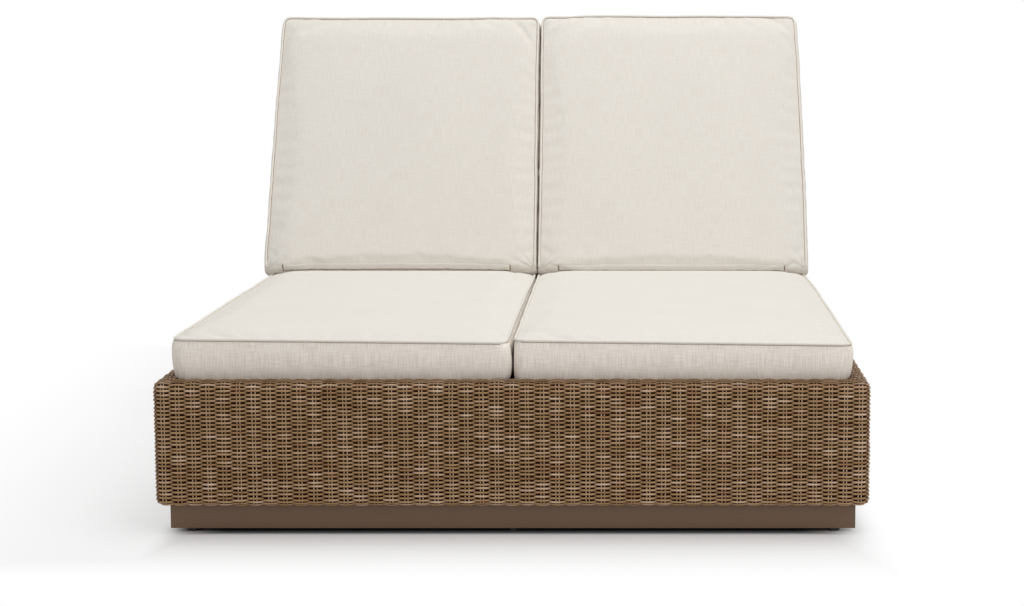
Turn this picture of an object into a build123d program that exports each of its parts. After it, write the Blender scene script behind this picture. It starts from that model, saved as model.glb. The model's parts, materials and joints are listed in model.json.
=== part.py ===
"""Double chaise lounger: a woven base on a recessed plinth, two reclining backs and four loose cushions.

Millimetres, +Z up. The origin is on the ground in the middle of the base. The foot end faces -Y.
"""
from build123d import *
import math
import os

# Overall sizes
OVERALL_WIDTH = 1420.0
OVERALL_LENGTH = 2080.0
RAIL_WIDTH = 40.0
APRON_HEIGHT = 250.0
SKIN = 7.5
CORNER_RADIUS = 18.0
TOP_EDGE_RADIUS = 10.0
BOTTOM_EDGE_RADIUS = 12.0
LIP_EDGE_RADIUS = 6.0
UNDER_WRAP = 47.5

# Plinth and glides
GLIDE_HEIGHT = 8.0
GLIDE_RADIUS = 12.0
GLIDE_SPREAD = 643.0
PLINTH_HEIGHT = 50.0
PLINTH_WIDTH = 40.0
PLINTH_INSET = 25.0
PLINTH_EDGE_RADIUS = 2.0

# Frame tubes
TUBE = 25.0
WALL = 2.5
BEAM_WIDTH = 50.0
BEAM_HEIGHT = 60.0
BEARER_SPACING = 600.0
BEARER_WIDTH = 40.0
SIDE_BEARER_WIDTH = 32.5
SIDE_BEARER_HEIGHT = 40.0

# Deck
DECK_DROP = 21.0
SLAT_THICKNESS = 11.5
SLAT_WIDTH = 70.0
SLAT_COUNT = 12
SLAT_PITCH = 99.0
SLAT_EDGE = 2.0

# Reclining backs, in the plane of the back: u runs from the hinge to the head, w points to the sitter
HINGE_FROM_FOOT_END = 1272.0
RECLINE = 65.0
BACK_LENGTH = 760.0
BACK_NEAR = 10.0
BACK_FAR = 660.0
BACK_TUBE_WIDTH = 30.0
BACK_TUBE_DEPTH = 20.0
BACK_SHEET = 5.0
BACK_CORNER_RADIUS = 22.0
FOOT_RAIL_RADIUS = 12.5
PIN_RADIUS = 5.0
PIN_CLEARANCE = 0.05
PIN_REACH = 28.0
BRACKET_THICKNESS = 5.0
BRACKET_GAP = 1.5
BRACKET_EYE = 10.0
BRACKET_MARGIN = 1.0

# Prop stay of each back
PROP_PIVOT_U = 310.0
PROP_PIVOT_DEPTH = 24.0
PROP_LENGTH = 375.0
PROP_FOOT_DROP = 46.0
PROP_SECTION = 20.0
PROP_BAR_RADIUS = 10.0
PROP_LEG_OFFSETS = (110.0, 560.0)
EAR_THICKNESS = 5.0
EAR_GAP = 0.5
EAR_RADIUS = 13.0
PROP_PIN_RADIUS = 4.0
PROP_PIN_PROUD = 1.5
RACK_THICKNESS = 10.0
RACK_DEPTH = 27.5
RACK_CLEARANCE = 0.4
RACK_STOPS = (65.0, 52.0, 39.0, 26.0, 13.0)
RACK_END = 26.0

# Rest pads under the lowered backs
BUMPER_HEIGHT = 6.5
BUMPER_SIZE = 18.0
BUMPER_PLACES = (170.0, 500.0)

# Cushions
SEAT_LENGTH = 1207.0
SEAT_BOXING = 90.0
SEAT_CROWN = 17.0
BACK_PAD_LENGTH = 682.0
BACK_BOXING = 94.0
BACK_CROWN = 18.0
BACK_PAD_RISE = 88.8
PAD_GAP = 3.2
SEAT_BULGE = 679.5
BACK_BULGE = 674.0
PAD_FIT = 666.5
DRAW_IN = 4.0
PAD_CORNER = 16.0
SEAM_DRAW = 4.0
END_DRAW = 2.0
WELT_BAND = 2.0
FIT_RISE = 3.0
CROSS_RISE = 6.0
SWELL = ((0.42, 2.0), (0.62, 0.0), (0.82, 1.0))
TOUCH_GAP = 0.3

# Worked-out levels and places
HALF_W = OVERALL_WIDTH / 2
HALF_L = OVERALL_LENGTH / 2
PLINTH_TOP = GLIDE_HEIGHT + PLINTH_HEIGHT
RAIL_TOP = PLINTH_TOP + APRON_HEIGHT
DECK_TOP = RAIL_TOP - DECK_DROP
SLAT_BOTTOM = DECK_TOP - SLAT_THICKNESS
WELL_X = HALF_W - RAIL_WIDTH
WELL_Y = HALF_L - RAIL_WIDTH
FRAME_X = HALF_W - SKIN
FRAME_Y = HALF_L - SKIN
TOP_TUBE_TOP = RAIL_TOP - SKIN
TOP_TUBE_BOTTOM = TOP_TUBE_TOP - TUBE
BOTTOM_TUBE_BOTTOM = PLINTH_TOP + SKIN
BOTTOM_TUBE_TOP = BOTTOM_TUBE_BOTTOM + TUBE
BOTTOM_TUBE_WIDTH = UNDER_WRAP - SKIN
LEDGE_BOTTOM = SLAT_BOTTOM - TUBE
LEDGE_INNER = FRAME_X - 2 * TUBE
BEAM_BOTTOM = LEDGE_BOTTOM - BEAM_HEIGHT
PLINTH_X = HALF_W - PLINTH_INSET
PLINTH_Y = HALF_L - PLINTH_INSET
HINGE_Y = HINGE_FROM_FOOT_END - HALF_L
HINGE_Z = DECK_TOP - FOOT_RAIL_RADIUS
DECK_END = HINGE_Y - 42.0
TUBE_TOP_W = FOOT_RAIL_RADIUS - BACK_SHEET
TUBE_BOTTOM_W = TUBE_TOP_W - BACK_TUBE_DEPTH
RACK_TOP = HINGE_Z - PROP_FOOT_DROP - PROP_BAR_RADIUS - 0.1 - RACK_CLEARANCE
RACK_BOTTOM = RACK_TOP - RACK_DEPTH
SIDE_BEARER_INNER = FRAME_X - TUBE - SIDE_BEARER_WIDTH
REAR_LEDGE_FRONT = FRAME_Y - TUBE - SIDE_BEARER_WIDTH
REAR_LEDGE_TOP = DECK_TOP - BACK_TUBE_DEPTH - BACK_SHEET - 7.0
REAR_LEDGE_BOTTOM = REAR_LEDGE_TOP - TUBE
BACK_PLACE = Pos(0, HINGE_Y, HINGE_Z) * Rot(RECLINE, 0, 0)
SIDES = (("left", -1), ("right", 1))


def block(x0, x1, y0, y1, z0, z1):
    """Return a plain block between two corners."""
    centre = Pos((x0 + x1) / 2, (y0 + y1) / 2, (z0 + z1) / 2)
    return centre * Box(abs(x1 - x0), abs(y1 - y0), abs(z1 - z0))


def tube(x0, x1, y0, y1, z0, z1, axis, wall=WALL):
    """Return a rectangular tube, open at both ends of its axis."""
    inset = {"x": 0.0, "y": 0.0, "z": 0.0}
    for name in inset:
        if name != axis:
            inset[name] = wall
    bore = block(
        x0 + inset["x"],
        x1 - inset["x"],
        y0 + inset["y"],
        y1 - inset["y"],
        z0 + inset["z"],
        z1 - inset["z"],
    )
    return block(x0, x1, y0, y1, z0, z1) - bore


def side_of(shape, side):
    """Return a right-hand shape for the side asked for: -1 mirrors it to the left."""
    return mirror(shape, about=Plane.YZ) if side < 0 else shape


def export(node, shape):
    """Write one sub-part under its node's name."""
    export_step(shape, f"parts/{node}.step")


def group(shapes):
    """Return several separate solids as one compound."""
    solids = []
    for shape in shapes:
        solids.extend(shape.solids())
    return Compound(children=solids)


def mitre_zone(name, half_x, half_y, depth=90.0):
    """Return the prism that holds one side of a rectangular ring, cut at 45 degrees at its corners."""
    if name in ("front", "rear"):
        sign = -1 if name == "front" else 1
        outer = sign * half_y
        inner = outer - sign * depth
        corners = [(-half_x, outer), (half_x, outer), (half_x - depth, inner), (-half_x + depth, inner)]
    else:
        sign = -1 if name == "left" else 1
        outer = sign * half_x
        inner = outer - sign * depth
        corners = [(outer, -half_y), (outer, half_y), (inner, half_y - depth), (inner, -half_y + depth)]
    return extrude(make_face(Polyline(*corners, close=True)), amount=RAIL_TOP + TUBE)


def ring(half_x, half_y, width, z0, z1, wall=WALL, edge_radius=0.0):
    """Return a rectangular ring of hollow tube."""
    outer = block(-half_x, half_x, -half_y, half_y, z0, z1)
    if edge_radius:
        outer = fillet(outer.edges().filter_by(Axis.Z), edge_radius)
    outer -= block(-half_x + width, half_x - width, -half_y + width, half_y - width, z0, z1)
    reach_x = half_x - wall
    reach_y = half_y - wall
    core = block(-reach_x, reach_x, -reach_y, reach_y, z0 + wall, z1 - wall)
    near_x = half_x - width + wall
    near_y = half_y - width + wall
    core -= block(-near_x, near_x, -near_y, near_y, z0, z1)
    return outer - core


def export_ring(prefix, bands, half_x, half_y):
    """Write the four mitred sides of a ring, which has one or more bands of solid."""
    for name in ("front", "rear", "left", "right"):
        zone = mitre_zone(name, half_x, half_y)
        export(f"{prefix}_{name}", group([band & zone for band in bands]))


def woven_ring():
    """Return the woven skin: outer wall, wrap over the rail with an inner lip, and wrap under the frame."""
    skin = block(-HALF_W, HALF_W, -HALF_L, HALF_L, PLINTH_TOP, RAIL_TOP)
    skin = fillet(skin.edges().filter_by(Axis.Z), CORNER_RADIUS)
    skin = fillet(skin.faces().sort_by(Axis.Z)[-1].edges(), TOP_EDGE_RADIUS)
    skin = fillet(skin.faces().sort_by(Axis.Z)[0].edges(), BOTTOM_EDGE_RADIUS)
    well = block(-WELL_X, WELL_X, -WELL_Y, WELL_Y, TOP_TUBE_BOTTOM, RAIL_TOP)
    skin -= well
    rim = skin.faces().sort_by(Axis.Z)[-1].inner_wires()[0]
    skin = fillet(rim.edges(), LIP_EDGE_RADIUS)
    skin -= block(-FRAME_X, FRAME_X, -FRAME_Y, FRAME_Y, BOTTOM_TUBE_BOTTOM, TOP_TUBE_BOTTOM)
    channel = block(-FRAME_X, FRAME_X, -FRAME_Y, FRAME_Y, TOP_TUBE_BOTTOM, TOP_TUBE_TOP)
    lip_x = FRAME_X - TUBE
    lip_y = FRAME_Y - TUBE
    channel -= block(-lip_x, lip_x, -lip_y, lip_y, TOP_TUBE_BOTTOM, TOP_TUBE_TOP)
    skin -= channel
    under_x = HALF_W - UNDER_WRAP
    under_y = HALF_L - UNDER_WRAP
    return skin - block(-under_x, under_x, -under_y, under_y, PLINTH_TOP, BOTTOM_TUBE_BOTTOM)


def woven_bands():
    """Return the skin as it is woven: a wall, a wrap over the rail, and a wrap under the frame."""
    skin = woven_ring()
    over = block(-HALF_W, HALF_W, -HALF_L, HALF_L, TOP_TUBE_BOTTOM, RAIL_TOP)
    under = block(-FRAME_X, FRAME_X, -FRAME_Y, FRAME_Y, PLINTH_TOP, BOTTOM_TUBE_BOTTOM)
    return [skin - over - under, skin & over, skin & under]


def glides():
    """Return the levelling glides, three by three, under the plinth, each with a hexagonal foot."""
    glide = extrude(RegularPolygon(GLIDE_RADIUS, 6), amount=GLIDE_HEIGHT)
    reach = PLINTH_Y - PLINTH_WIDTH / 2
    places = [(x * GLIDE_SPREAD, y * reach) for x in (-1, 0, 1) for y in (-1, 0, 1)]
    return group([Pos(x, y, 0) * glide for x, y in places])


def posts():
    """Return the upright tubes between the bottom and top frames and under the centre beam."""
    shapes = []
    x0 = FRAME_X - TUBE
    y0 = FRAME_Y - TUBE
    for y in (-FRAME_Y, -BEARER_SPACING, 0.0, BEARER_SPACING, y0):
        under_ledge = -FRAME_Y < y < DECK_END
        top = LEDGE_BOTTOM if under_ledge else TOP_TUBE_BOTTOM
        post = tube(x0, FRAME_X, y, y + TUBE, BOTTOM_TUBE_TOP, top, "z")
        shapes += [post, side_of(post, -1)]
    half = TUBE / 2
    for y in (-FRAME_Y, y0):
        shapes.append(tube(-half, half, y, y + TUBE, BOTTOM_TUBE_TOP, TOP_TUBE_BOTTOM, "z"))
    for y in (-BEARER_SPACING, 0.0, BEARER_SPACING):
        shapes.append(tube(-half, half, y, y + TUBE, BOTTOM_TUBE_TOP, BEAM_BOTTOM, "z"))
    return group(shapes)


def cross_bearers():
    """Return the three tubes that tie the long bottom tubes together."""
    reach = FRAME_X - BOTTOM_TUBE_WIDTH
    offset = (TUBE - BEARER_WIDTH) / 2
    shapes = []
    for y in (-BEARER_SPACING, 0.0, BEARER_SPACING):
        y0 = y + offset
        shapes.append(tube(-reach, reach, y0, y0 + BEARER_WIDTH, PLINTH_TOP, BOTTOM_TUBE_TOP, "x"))
    return group(shapes)


def slats():
    """Return the right-hand seat deck: channel slats with eased edges and a middle rib."""
    x0 = 2.0
    x1 = WELL_X - 2.0
    bar = block(x0, x1, 0, SLAT_WIDTH, SLAT_BOTTOM, DECK_TOP)
    top_edges = bar.edges().filter_by(Axis.X).sort_by(Axis.Z)[-2:]
    bar = chamfer(top_edges, SLAT_EDGE)
    half = SLAT_WIDTH / 2
    roof = DECK_TOP - WALL
    bar -= block(x0, x1, WALL, half - WALL / 2, SLAT_BOTTOM, roof)
    bar -= block(x0, x1, half + WALL / 2, SLAT_WIDTH - WALL, SLAT_BOTTOM, roof)
    last = DECK_END - SLAT_WIDTH - 2.0
    return group([Pos(0, last - n * SLAT_PITCH, 0) * bar for n in range(SLAT_COUNT)])


def foot_place(recline):
    """Return the prop foot's distance behind the hinge at one angle of the back."""
    angle = math.radians(recline)
    pivot_y = PROP_PIVOT_U * math.cos(angle) + PROP_PIVOT_DEPTH * math.sin(angle)
    pivot_z = PROP_PIVOT_U * math.sin(angle) - PROP_PIVOT_DEPTH * math.cos(angle)
    drop = pivot_z + PROP_FOOT_DROP
    return pivot_y + math.sqrt(PROP_LENGTH**2 - drop**2)


def rack(x0):
    """Return one toothed rack: a ramped notch for the prop bar at each stop and a plain end for the flat back."""
    stops = sorted(HINGE_Y + foot_place(angle) for angle in RACK_STOPS)
    start = stops[0] - RACK_END
    end = HINGE_Y + foot_place(0.0) + RACK_END
    plate = block(x0, x0 + RACK_THICKNESS, start, end, RACK_BOTTOM, RACK_TOP)
    plate = chamfer(plate.edges().filter_by(Axis.X).sort_by(Axis.Z)[-2:], 6.0)
    notch_radius = PROP_BAR_RADIUS + 0.5
    for y in stops:
        seat = Pos(x0 + RACK_THICKNESS / 2, y, RACK_TOP) * Rot(0, 90, 0) * Cylinder(notch_radius, RACK_THICKNESS)
        ramp = Polyline(
            (y, RACK_TOP + 1.0),
            (y, RACK_TOP - notch_radius),
            (y + notch_radius * 2.0, RACK_TOP),
            (y + notch_radius * 2.0, RACK_TOP + 1.0),
            close=True,
        )
        cut = extrude(Plane.YZ.offset(x0) * make_face(ramp), amount=RACK_THICKNESS)
        plate -= seat
        plate -= cut
    return plate


def bracket_plate(x0):
    """Return one upright plate that carries a hinge pin behind the end of the deck."""
    z0 = LEDGE_BOTTOM + BRACKET_MARGIN
    outline = Polyline(
        (DECK_END, z0),
        (DECK_END + BRACKET_EYE, z0),
        (HINGE_Y, HINGE_Z - BRACKET_EYE),
        (HINGE_Y, HINGE_Z + BRACKET_EYE),
        (DECK_END, HINGE_Z + BRACKET_EYE),
        close=True,
    )
    plate = extrude(Plane.YZ.offset(x0) * make_face(outline), amount=BRACKET_THICKNESS)
    eye = Pos(x0 + BRACKET_THICKNESS / 2, HINGE_Y, HINGE_Z) * Rot(0, 90, 0)
    plate += eye * Cylinder(BRACKET_EYE, BRACKET_THICKNESS)
    return plate - eye * Cylinder(PIN_RADIUS, BRACKET_THICKNESS)


def flange(x0, x1):
    """Return the upright flange of a bracket on the end of the deck."""
    z0 = LEDGE_BOTTOM + BRACKET_MARGIN
    return block(x0, x1, DECK_END, DECK_END + BRACKET_THICKNESS, z0, SLAT_BOTTOM - BRACKET_MARGIN)


def outer_bracket():
    """Return the right-hand bracket: a plate beside the back and a flange on the end of the side ledge."""
    foot = flange(LEDGE_INNER + BRACKET_MARGIN, FRAME_X - BRACKET_MARGIN)
    return bracket_plate(BACK_FAR + BRACKET_GAP) + foot


def centre_bracket():
    """Return the centre bracket: two plates between the backs on one flange."""
    ear = bracket_plate(BACK_NEAR - BRACKET_GAP - BRACKET_THICKNESS)
    half = BEAM_WIDTH / 2 - BRACKET_MARGIN
    return flange(-half, half) + ear + side_of(ear, -1)


def hinge_pins():
    """Return the four hinge pins, each welded into its plate and reaching into the end of a foot rail."""
    grip = BRACKET_THICKNESS + BRACKET_GAP + PIN_REACH
    turn = Pos(0, HINGE_Y, HINGE_Z) * Rot(0, 90, 0)
    shapes = []
    for face, inward in ((BACK_FAR + BRACKET_GAP + BRACKET_THICKNESS, -1),
                         (BACK_NEAR - BRACKET_GAP - BRACKET_THICKNESS, 1)):
        pin = Pos(face + inward * grip / 2, 0, 0) * turn * Cylinder(PIN_RADIUS, grip)
        shapes += [pin, side_of(pin, -1)]
    return group(shapes)


def pad_outline(x0, x1, y0, y1, z, draw):
    """Return the plan of a cushion at one level: rounded corners and sides that draw in between them."""
    r = PAD_CORNER
    k = r * (1 - math.sqrt(0.5))
    xm = (x0 + x1) / 2
    ym = (y0 + y1) / 2
    lines = [
        ThreePointArc((x0 + r, y0, z), (xm, y0 + draw, z), (x1 - r, y0, z)),
        ThreePointArc((x1 - r, y0, z), (x1 - k, y0 + k, z), (x1, y0 + r, z)),
        ThreePointArc((x1, y0 + r, z), (x1 - draw, ym, z), (x1, y1 - r, z)),
        ThreePointArc((x1, y1 - r, z), (x1 - k, y1 - k, z), (x1 - r, y1, z)),
        ThreePointArc((x1 - r, y1, z), (xm, y1 - draw, z), (x0 + r, y1, z)),
        ThreePointArc((x0 + r, y1, z), (x0 + k, y1 - k, z), (x0, y1 - r, z)),
        ThreePointArc((x0, y1 - r, z), (x0 + draw / 2, ym, z), (x0, y0 + r, z)),
        ThreePointArc((x0, y0 + r, z), (x0 + k, y0 + k, z), (x0 + r, y0, z)),
    ]
    return Face(Wire(lines))


def vault(lengthwise, low, high, start, end, edge_z, top_z):
    """Return the solid under a shallow arch that springs at two edges and runs straight between two ends."""
    spread = 10.0
    plane = Plane.XZ.offset(-start) if lengthwise else Plane.YZ.offset(start)
    arch = ThreePointArc((low, edge_z), ((low + high) / 2, top_z), (high, edge_z))
    sides = Polyline(
        (high, edge_z),
        (high + spread, edge_z),
        (high + spread, -1.0),
        (low - spread, -1.0),
        (low - spread, edge_z),
        (low, edge_z),
    )
    section = plane * make_face([arch, sides])
    return extrude(section, amount=end - start, dir=(0, 1, 0) if lengthwise else (1, 0, 0))


def cushion(bulge, y0, length, boxing, crown):
    """Return a boxed cushion lying at z = 0: swelling sides up to the welt seam under a crown of two vaults."""
    y1 = y0 + length
    near = PAD_GAP + END_DRAW / 2
    far = bulge - SEAM_DRAW
    spare = 1.0
    levels = [(0.0, PAD_FIT - 1.0, END_DRAW), (DECK_DROP + FIT_RISE, PAD_FIT, END_DRAW / 2)]
    levels += [(boxing * share, bulge - draw, draw / 4) for share, draw in SWELL]
    levels += [(boxing, far, END_DRAW), (boxing + crown + spare, far, END_DRAW)]
    plans = []
    for z, reach, inset in levels:
        plans.append(pad_outline(PAD_GAP + inset / 2, reach, y0 + inset, y1 - inset, z, DRAW_IN))
    body = loft(plans, ruled=True)
    edge_z = boxing + WELT_BAND
    top_z = boxing + crown
    body &= vault(True, near - spare, far + spare, y0 - spare, y1 + spare, edge_z, top_z)
    return body & vault(False, y0 + spare, y1 - spare, 0.0, bulge + spare, edge_z, top_z + CROSS_RISE)


def back_frame(side_name, side):
    """Write the rigid pieces of one reclining back, built flat and then raised about the hinge."""
    low = TUBE_BOTTOM_W
    high = TUBE_TOP_W
    turn = Rot(0, 90, 0)
    middle = (BACK_NEAR + BACK_FAR) / 2
    span = BACK_FAR - BACK_NEAR
    rod = Pos(middle, 0, 0) * turn * Cylinder(FOOT_RAIL_RADIUS, span)
    bore = Pos(middle, 0, 0) * turn * Cylinder(PIN_RADIUS + PIN_CLEARANCE, span)
    head_start = BACK_LENGTH - BACK_TUBE_WIDTH
    pieces = {"foot_rail": rod - bore}
    for name, x0 in (("inner", BACK_NEAR), ("outer", BACK_FAR - BACK_TUBE_WIDTH)):
        stile = tube(x0, x0 + BACK_TUBE_WIDTH, 0, head_start, low, high, "y", 2.0)
        pieces[f"{name}_stile"] = stile - rod
    head = tube(BACK_NEAR, BACK_FAR, head_start, BACK_LENGTH, low, high, "x", 2.0)
    outline = block(BACK_NEAR, BACK_FAR, 0, BACK_LENGTH, low, FOOT_RAIL_RADIUS)
    far_edges = outline.edges().filter_by(Axis.Z).group_by(Axis.Y)[-1]
    outline = fillet(far_edges, BACK_CORNER_RADIUS)
    pieces["head_rail"] = head & outline
    sheet = block(BACK_NEAR, BACK_FAR, FOOT_RAIL_RADIUS, BACK_LENGTH, high, FOOT_RAIL_RADIUS)
    pieces["back_weave"] = sheet & outline
    pieces["prop_rail"] = prop_rail(low, high)
    pieces["prop_pins"] = prop_pins()
    for name, shape in pieces.items():
        export(f"{name}_{side_name}", BACK_PLACE * side_of(shape, side))


def prop_rail(low, high):
    """Return the cross tube of a back with the two pairs of ears that hold the prop legs."""
    x0 = BACK_NEAR + BACK_TUBE_WIDTH
    x1 = BACK_FAR - BACK_TUBE_WIDTH
    half = BACK_TUBE_WIDTH / 2
    rail = tube(x0, x1, PROP_PIVOT_U - half, PROP_PIVOT_U + half, low, high, "x", 2.0)
    turn = Rot(0, 90, 0)
    for offset in PROP_LEG_OFFSETS:
        for sign in (-1, 1):
            middle = offset + sign * (PROP_SECTION / 2 + EAR_GAP + EAR_THICKNESS / 2)
            ear = block(middle - EAR_THICKNESS / 2, middle + EAR_THICKNESS / 2, PROP_PIVOT_U - EAR_RADIUS,
                        PROP_PIVOT_U + EAR_RADIUS, -PROP_PIVOT_DEPTH - EAR_RADIUS, low)
            ear = chamfer(ear.edges().filter_by(Axis.X).sort_by(Axis.Z)[:2], EAR_RADIUS * 0.6)
            rail += ear
            boss = Pos(middle, PROP_PIVOT_U, -PROP_PIVOT_DEPTH) * turn
            rail -= boss * Cylinder(PROP_PIN_RADIUS, EAR_THICKNESS)
    return rail


def prop_pins():
    """Return the two prop pins of a back, each standing a little proud of its ears."""
    half = PROP_SECTION / 2 + EAR_GAP + EAR_THICKNESS + PROP_PIN_PROUD
    shapes = []
    for offset in PROP_LEG_OFFSETS:
        place = Pos(offset, PROP_PIVOT_U, -PROP_PIVOT_DEPTH) * Rot(0, 90, 0)
        shapes.append(place * Cylinder(PROP_PIN_RADIUS, 2 * half))
    return group(shapes)


def prop(side_name, side):
    """Write one prop stay where it stands with the back raised: two legs and the bar at their feet."""
    raised = math.radians(RECLINE)
    pivot_y = PROP_PIVOT_U * math.cos(raised) + PROP_PIVOT_DEPTH * math.sin(raised)
    pivot_z = PROP_PIVOT_U * math.sin(raised) - PROP_PIVOT_DEPTH * math.cos(raised)
    reach = foot_place(RECLINE) - pivot_y
    drop = pivot_z + PROP_FOOT_DROP
    lean = math.degrees(math.atan2(-drop, reach))
    place = Pos(0, HINGE_Y + pivot_y, HINGE_Z + pivot_z) * Rot(lean, 0, 0)
    turn = Rot(0, 90, 0)
    half = PROP_SECTION / 2
    bar_start = BEAM_WIDTH / 2 + 1.5
    bar_end = SIDE_BEARER_INNER - 1.5
    bar_axis = Pos((bar_start + bar_end) / 2, PROP_LENGTH, 0) * turn
    bar = bar_axis * Cylinder(PROP_BAR_RADIUS, bar_end - bar_start)
    legs = []
    for offset in PROP_LEG_OFFSETS:
        leg = tube(offset - half, offset + half, half, PROP_LENGTH, -half, half, "y", 2.0)
        leg += block(offset - half, offset + half, 0, half, -half, half)
        leg += Pos(offset, 0, 0) * turn * Cylinder(half, PROP_SECTION)
        leg -= Pos(offset, 0, 0) * turn * Cylinder(PROP_PIN_RADIUS + PIN_CLEARANCE, PROP_SECTION)
        legs.append(leg - bar)
    export(f"prop_legs_{side_name}", group([place * side_of(leg, side) for leg in legs]))
    export(f"prop_bar_{side_name}", place * side_of(bar, side))


def main():
    """Build and write every sub-part."""
    os.makedirs("parts", exist_ok=True)

    # Plinth, glides and base frame
    export("foot_glides", glides())
    plinth = ring(PLINTH_X, PLINTH_Y, PLINTH_WIDTH, GLIDE_HEIGHT, PLINTH_TOP, WALL, PLINTH_EDGE_RADIUS)
    export_ring("plinth", [plinth], PLINTH_X, PLINTH_Y)
    half = PLINTH_WIDTH / 2
    reach = PLINTH_Y - PLINTH_WIDTH
    export("plinth_centre", tube(-half, half, -reach, reach, GLIDE_HEIGHT, PLINTH_TOP, "y"))
    bottom = ring(FRAME_X, FRAME_Y, BOTTOM_TUBE_WIDTH, BOTTOM_TUBE_BOTTOM, BOTTOM_TUBE_TOP)
    export_ring("bottom_tube", [bottom], FRAME_X, FRAME_Y)
    top = ring(FRAME_X, FRAME_Y, TUBE, TOP_TUBE_BOTTOM, TOP_TUBE_TOP)
    export_ring("top_tube", [top], FRAME_X, FRAME_Y)
    export("frame_posts", posts())
    export("cross_bearers", cross_bearers())

    # Woven skin
    export_ring("woven", woven_bands(), HALF_W, HALF_L)

    # Deck and what carries it
    post_y = FRAME_Y - TUBE
    half_beam = BEAM_WIDTH / 2
    export("centre_beam", tube(-half_beam, half_beam, -post_y, REAR_LEDGE_FRONT, BEAM_BOTTOM, LEDGE_BOTTOM, "y"))
    export("centre_ledge", tube(-half_beam, half_beam, -post_y, DECK_END, LEDGE_BOTTOM, SLAT_BOTTOM, "y"))
    rear_ledge = tube(-FRAME_X, FRAME_X, REAR_LEDGE_FRONT, post_y, REAR_LEDGE_BOTTOM, REAR_LEDGE_TOP, "x")
    export("rear_ledge", rear_ledge)
    middle = (REAR_LEDGE_FRONT + post_y) / 2
    bumper = Pos(0, middle, REAR_LEDGE_TOP + BUMPER_HEIGHT / 2) * Box(BUMPER_SIZE, BUMPER_SIZE, BUMPER_HEIGHT)
    export("rest_bumpers", group([Pos(side * x, 0, 0) * bumper for _, side in SIDES for x in BUMPER_PLACES]))
    for name, side in SIDES:
        ledge = tube(LEDGE_INNER, FRAME_X, -post_y, DECK_END, LEDGE_BOTTOM, SLAT_BOTTOM, "y")
        export(f"side_ledge_{name}", side_of(ledge, side))
        bearer = tube(SIDE_BEARER_INNER, FRAME_X - TUBE, 0.0, post_y, RACK_TOP - 3.0 - SIDE_BEARER_HEIGHT,
                      RACK_TOP - 3.0, "y")
        export(f"side_bearer_{name}", side_of(bearer, side))
        export(f"seat_slats_{name}", side_of(slats(), side))
        racks = group([rack(half_beam), rack(SIDE_BEARER_INNER - RACK_THICKNESS)])
        export(f"racks_{name}", side_of(racks, side))
        export(f"hinge_bracket_{name}", side_of(outer_bracket(), side))
    export("hinge_bracket_centre", centre_bracket())
    export("hinge_pins", hinge_pins())

    # Backs, prop stays and cushions
    seat = Pos(0, 0, DECK_TOP + TOUCH_GAP) * cushion(
        SEAT_BULGE, -WELL_Y + 2.0, SEAT_LENGTH, SEAT_BOXING, SEAT_CROWN)
    back = Pos(0, 0, FOOT_RAIL_RADIUS + TOUCH_GAP) * cushion(
        BACK_BULGE, BACK_PAD_RISE, BACK_PAD_LENGTH, BACK_BOXING, BACK_CROWN)
    for name, side in SIDES:
        back_frame(name, side)
        prop(name, side)
        export(f"seat_cushion_{name}", side_of(seat, side))
        export(f"back_cushion_{name}", BACK_PLACE * side_of(back, side))


main()
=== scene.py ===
"""Dresses the double chaise lounger: woven strands, sewn cushions, finishes, fasteners, floor, light and camera.

Metres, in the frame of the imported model: +X is to the right as seen from the foot end, +Y runs from the foot
end to the head end, and +Z is up.
"""

import json
import logging
import math
from dataclasses import dataclass, field
from enum import Enum
from typing import Any, Callable, Iterable, Sequence, Union

import bmesh
import bpy
import numpy as np
from bpy.types import Material, Mesh, NodeSocket, Object
from mathutils import Euler, Matrix, Vector


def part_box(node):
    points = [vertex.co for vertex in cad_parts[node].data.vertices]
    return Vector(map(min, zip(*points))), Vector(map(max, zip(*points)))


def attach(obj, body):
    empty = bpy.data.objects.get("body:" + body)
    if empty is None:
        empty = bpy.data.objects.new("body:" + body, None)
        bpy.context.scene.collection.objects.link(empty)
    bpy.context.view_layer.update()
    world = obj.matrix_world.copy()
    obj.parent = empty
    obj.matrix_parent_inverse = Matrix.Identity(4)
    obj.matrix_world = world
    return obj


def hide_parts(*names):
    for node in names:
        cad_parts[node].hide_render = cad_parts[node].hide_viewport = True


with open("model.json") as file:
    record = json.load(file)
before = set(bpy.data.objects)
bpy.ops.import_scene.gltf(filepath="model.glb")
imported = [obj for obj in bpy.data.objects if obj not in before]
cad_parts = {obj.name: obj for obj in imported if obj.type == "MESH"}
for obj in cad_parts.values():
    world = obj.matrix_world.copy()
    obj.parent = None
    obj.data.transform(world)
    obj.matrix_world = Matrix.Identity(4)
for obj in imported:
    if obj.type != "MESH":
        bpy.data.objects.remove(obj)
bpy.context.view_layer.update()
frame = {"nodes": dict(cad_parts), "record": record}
LOG = logging.getLogger("lounger")

MM = 0.001
QUARTER = math.pi / 2
HALF_W = 710 * MM
HALF_L = 1040 * MM
PLINTH_X = 685 * MM
PLINTH_Y = 1015 * MM
PLINTH_TOP = 58 * MM
RAIL_TOP = 308 * MM
DECK_TOP = 287 * MM
HINGE_Y = 232 * MM
HINGE_Z = 274.5 * MM
RECLINE = 65.0
TOUCH_GAP = 0.3 * MM
FOOT_RAIL_RADIUS = 12.5 * MM
TINY = 1e-9
WHITE = (1, 1, 1, 1)

Array = np.ndarray
Rgb = tuple[int, int, int]
Input = Union["Value", NodeSocket, float, Sequence[float]]
Stops = Sequence[tuple[float, Sequence[float]]]


class Side(Enum):
    """The two places of the lounger, with their direction along X."""

    LEFT = -1
    RIGHT = 1

    @property
    def label(self) -> str:
        """The side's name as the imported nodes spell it."""
        return self.name.lower()


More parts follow.
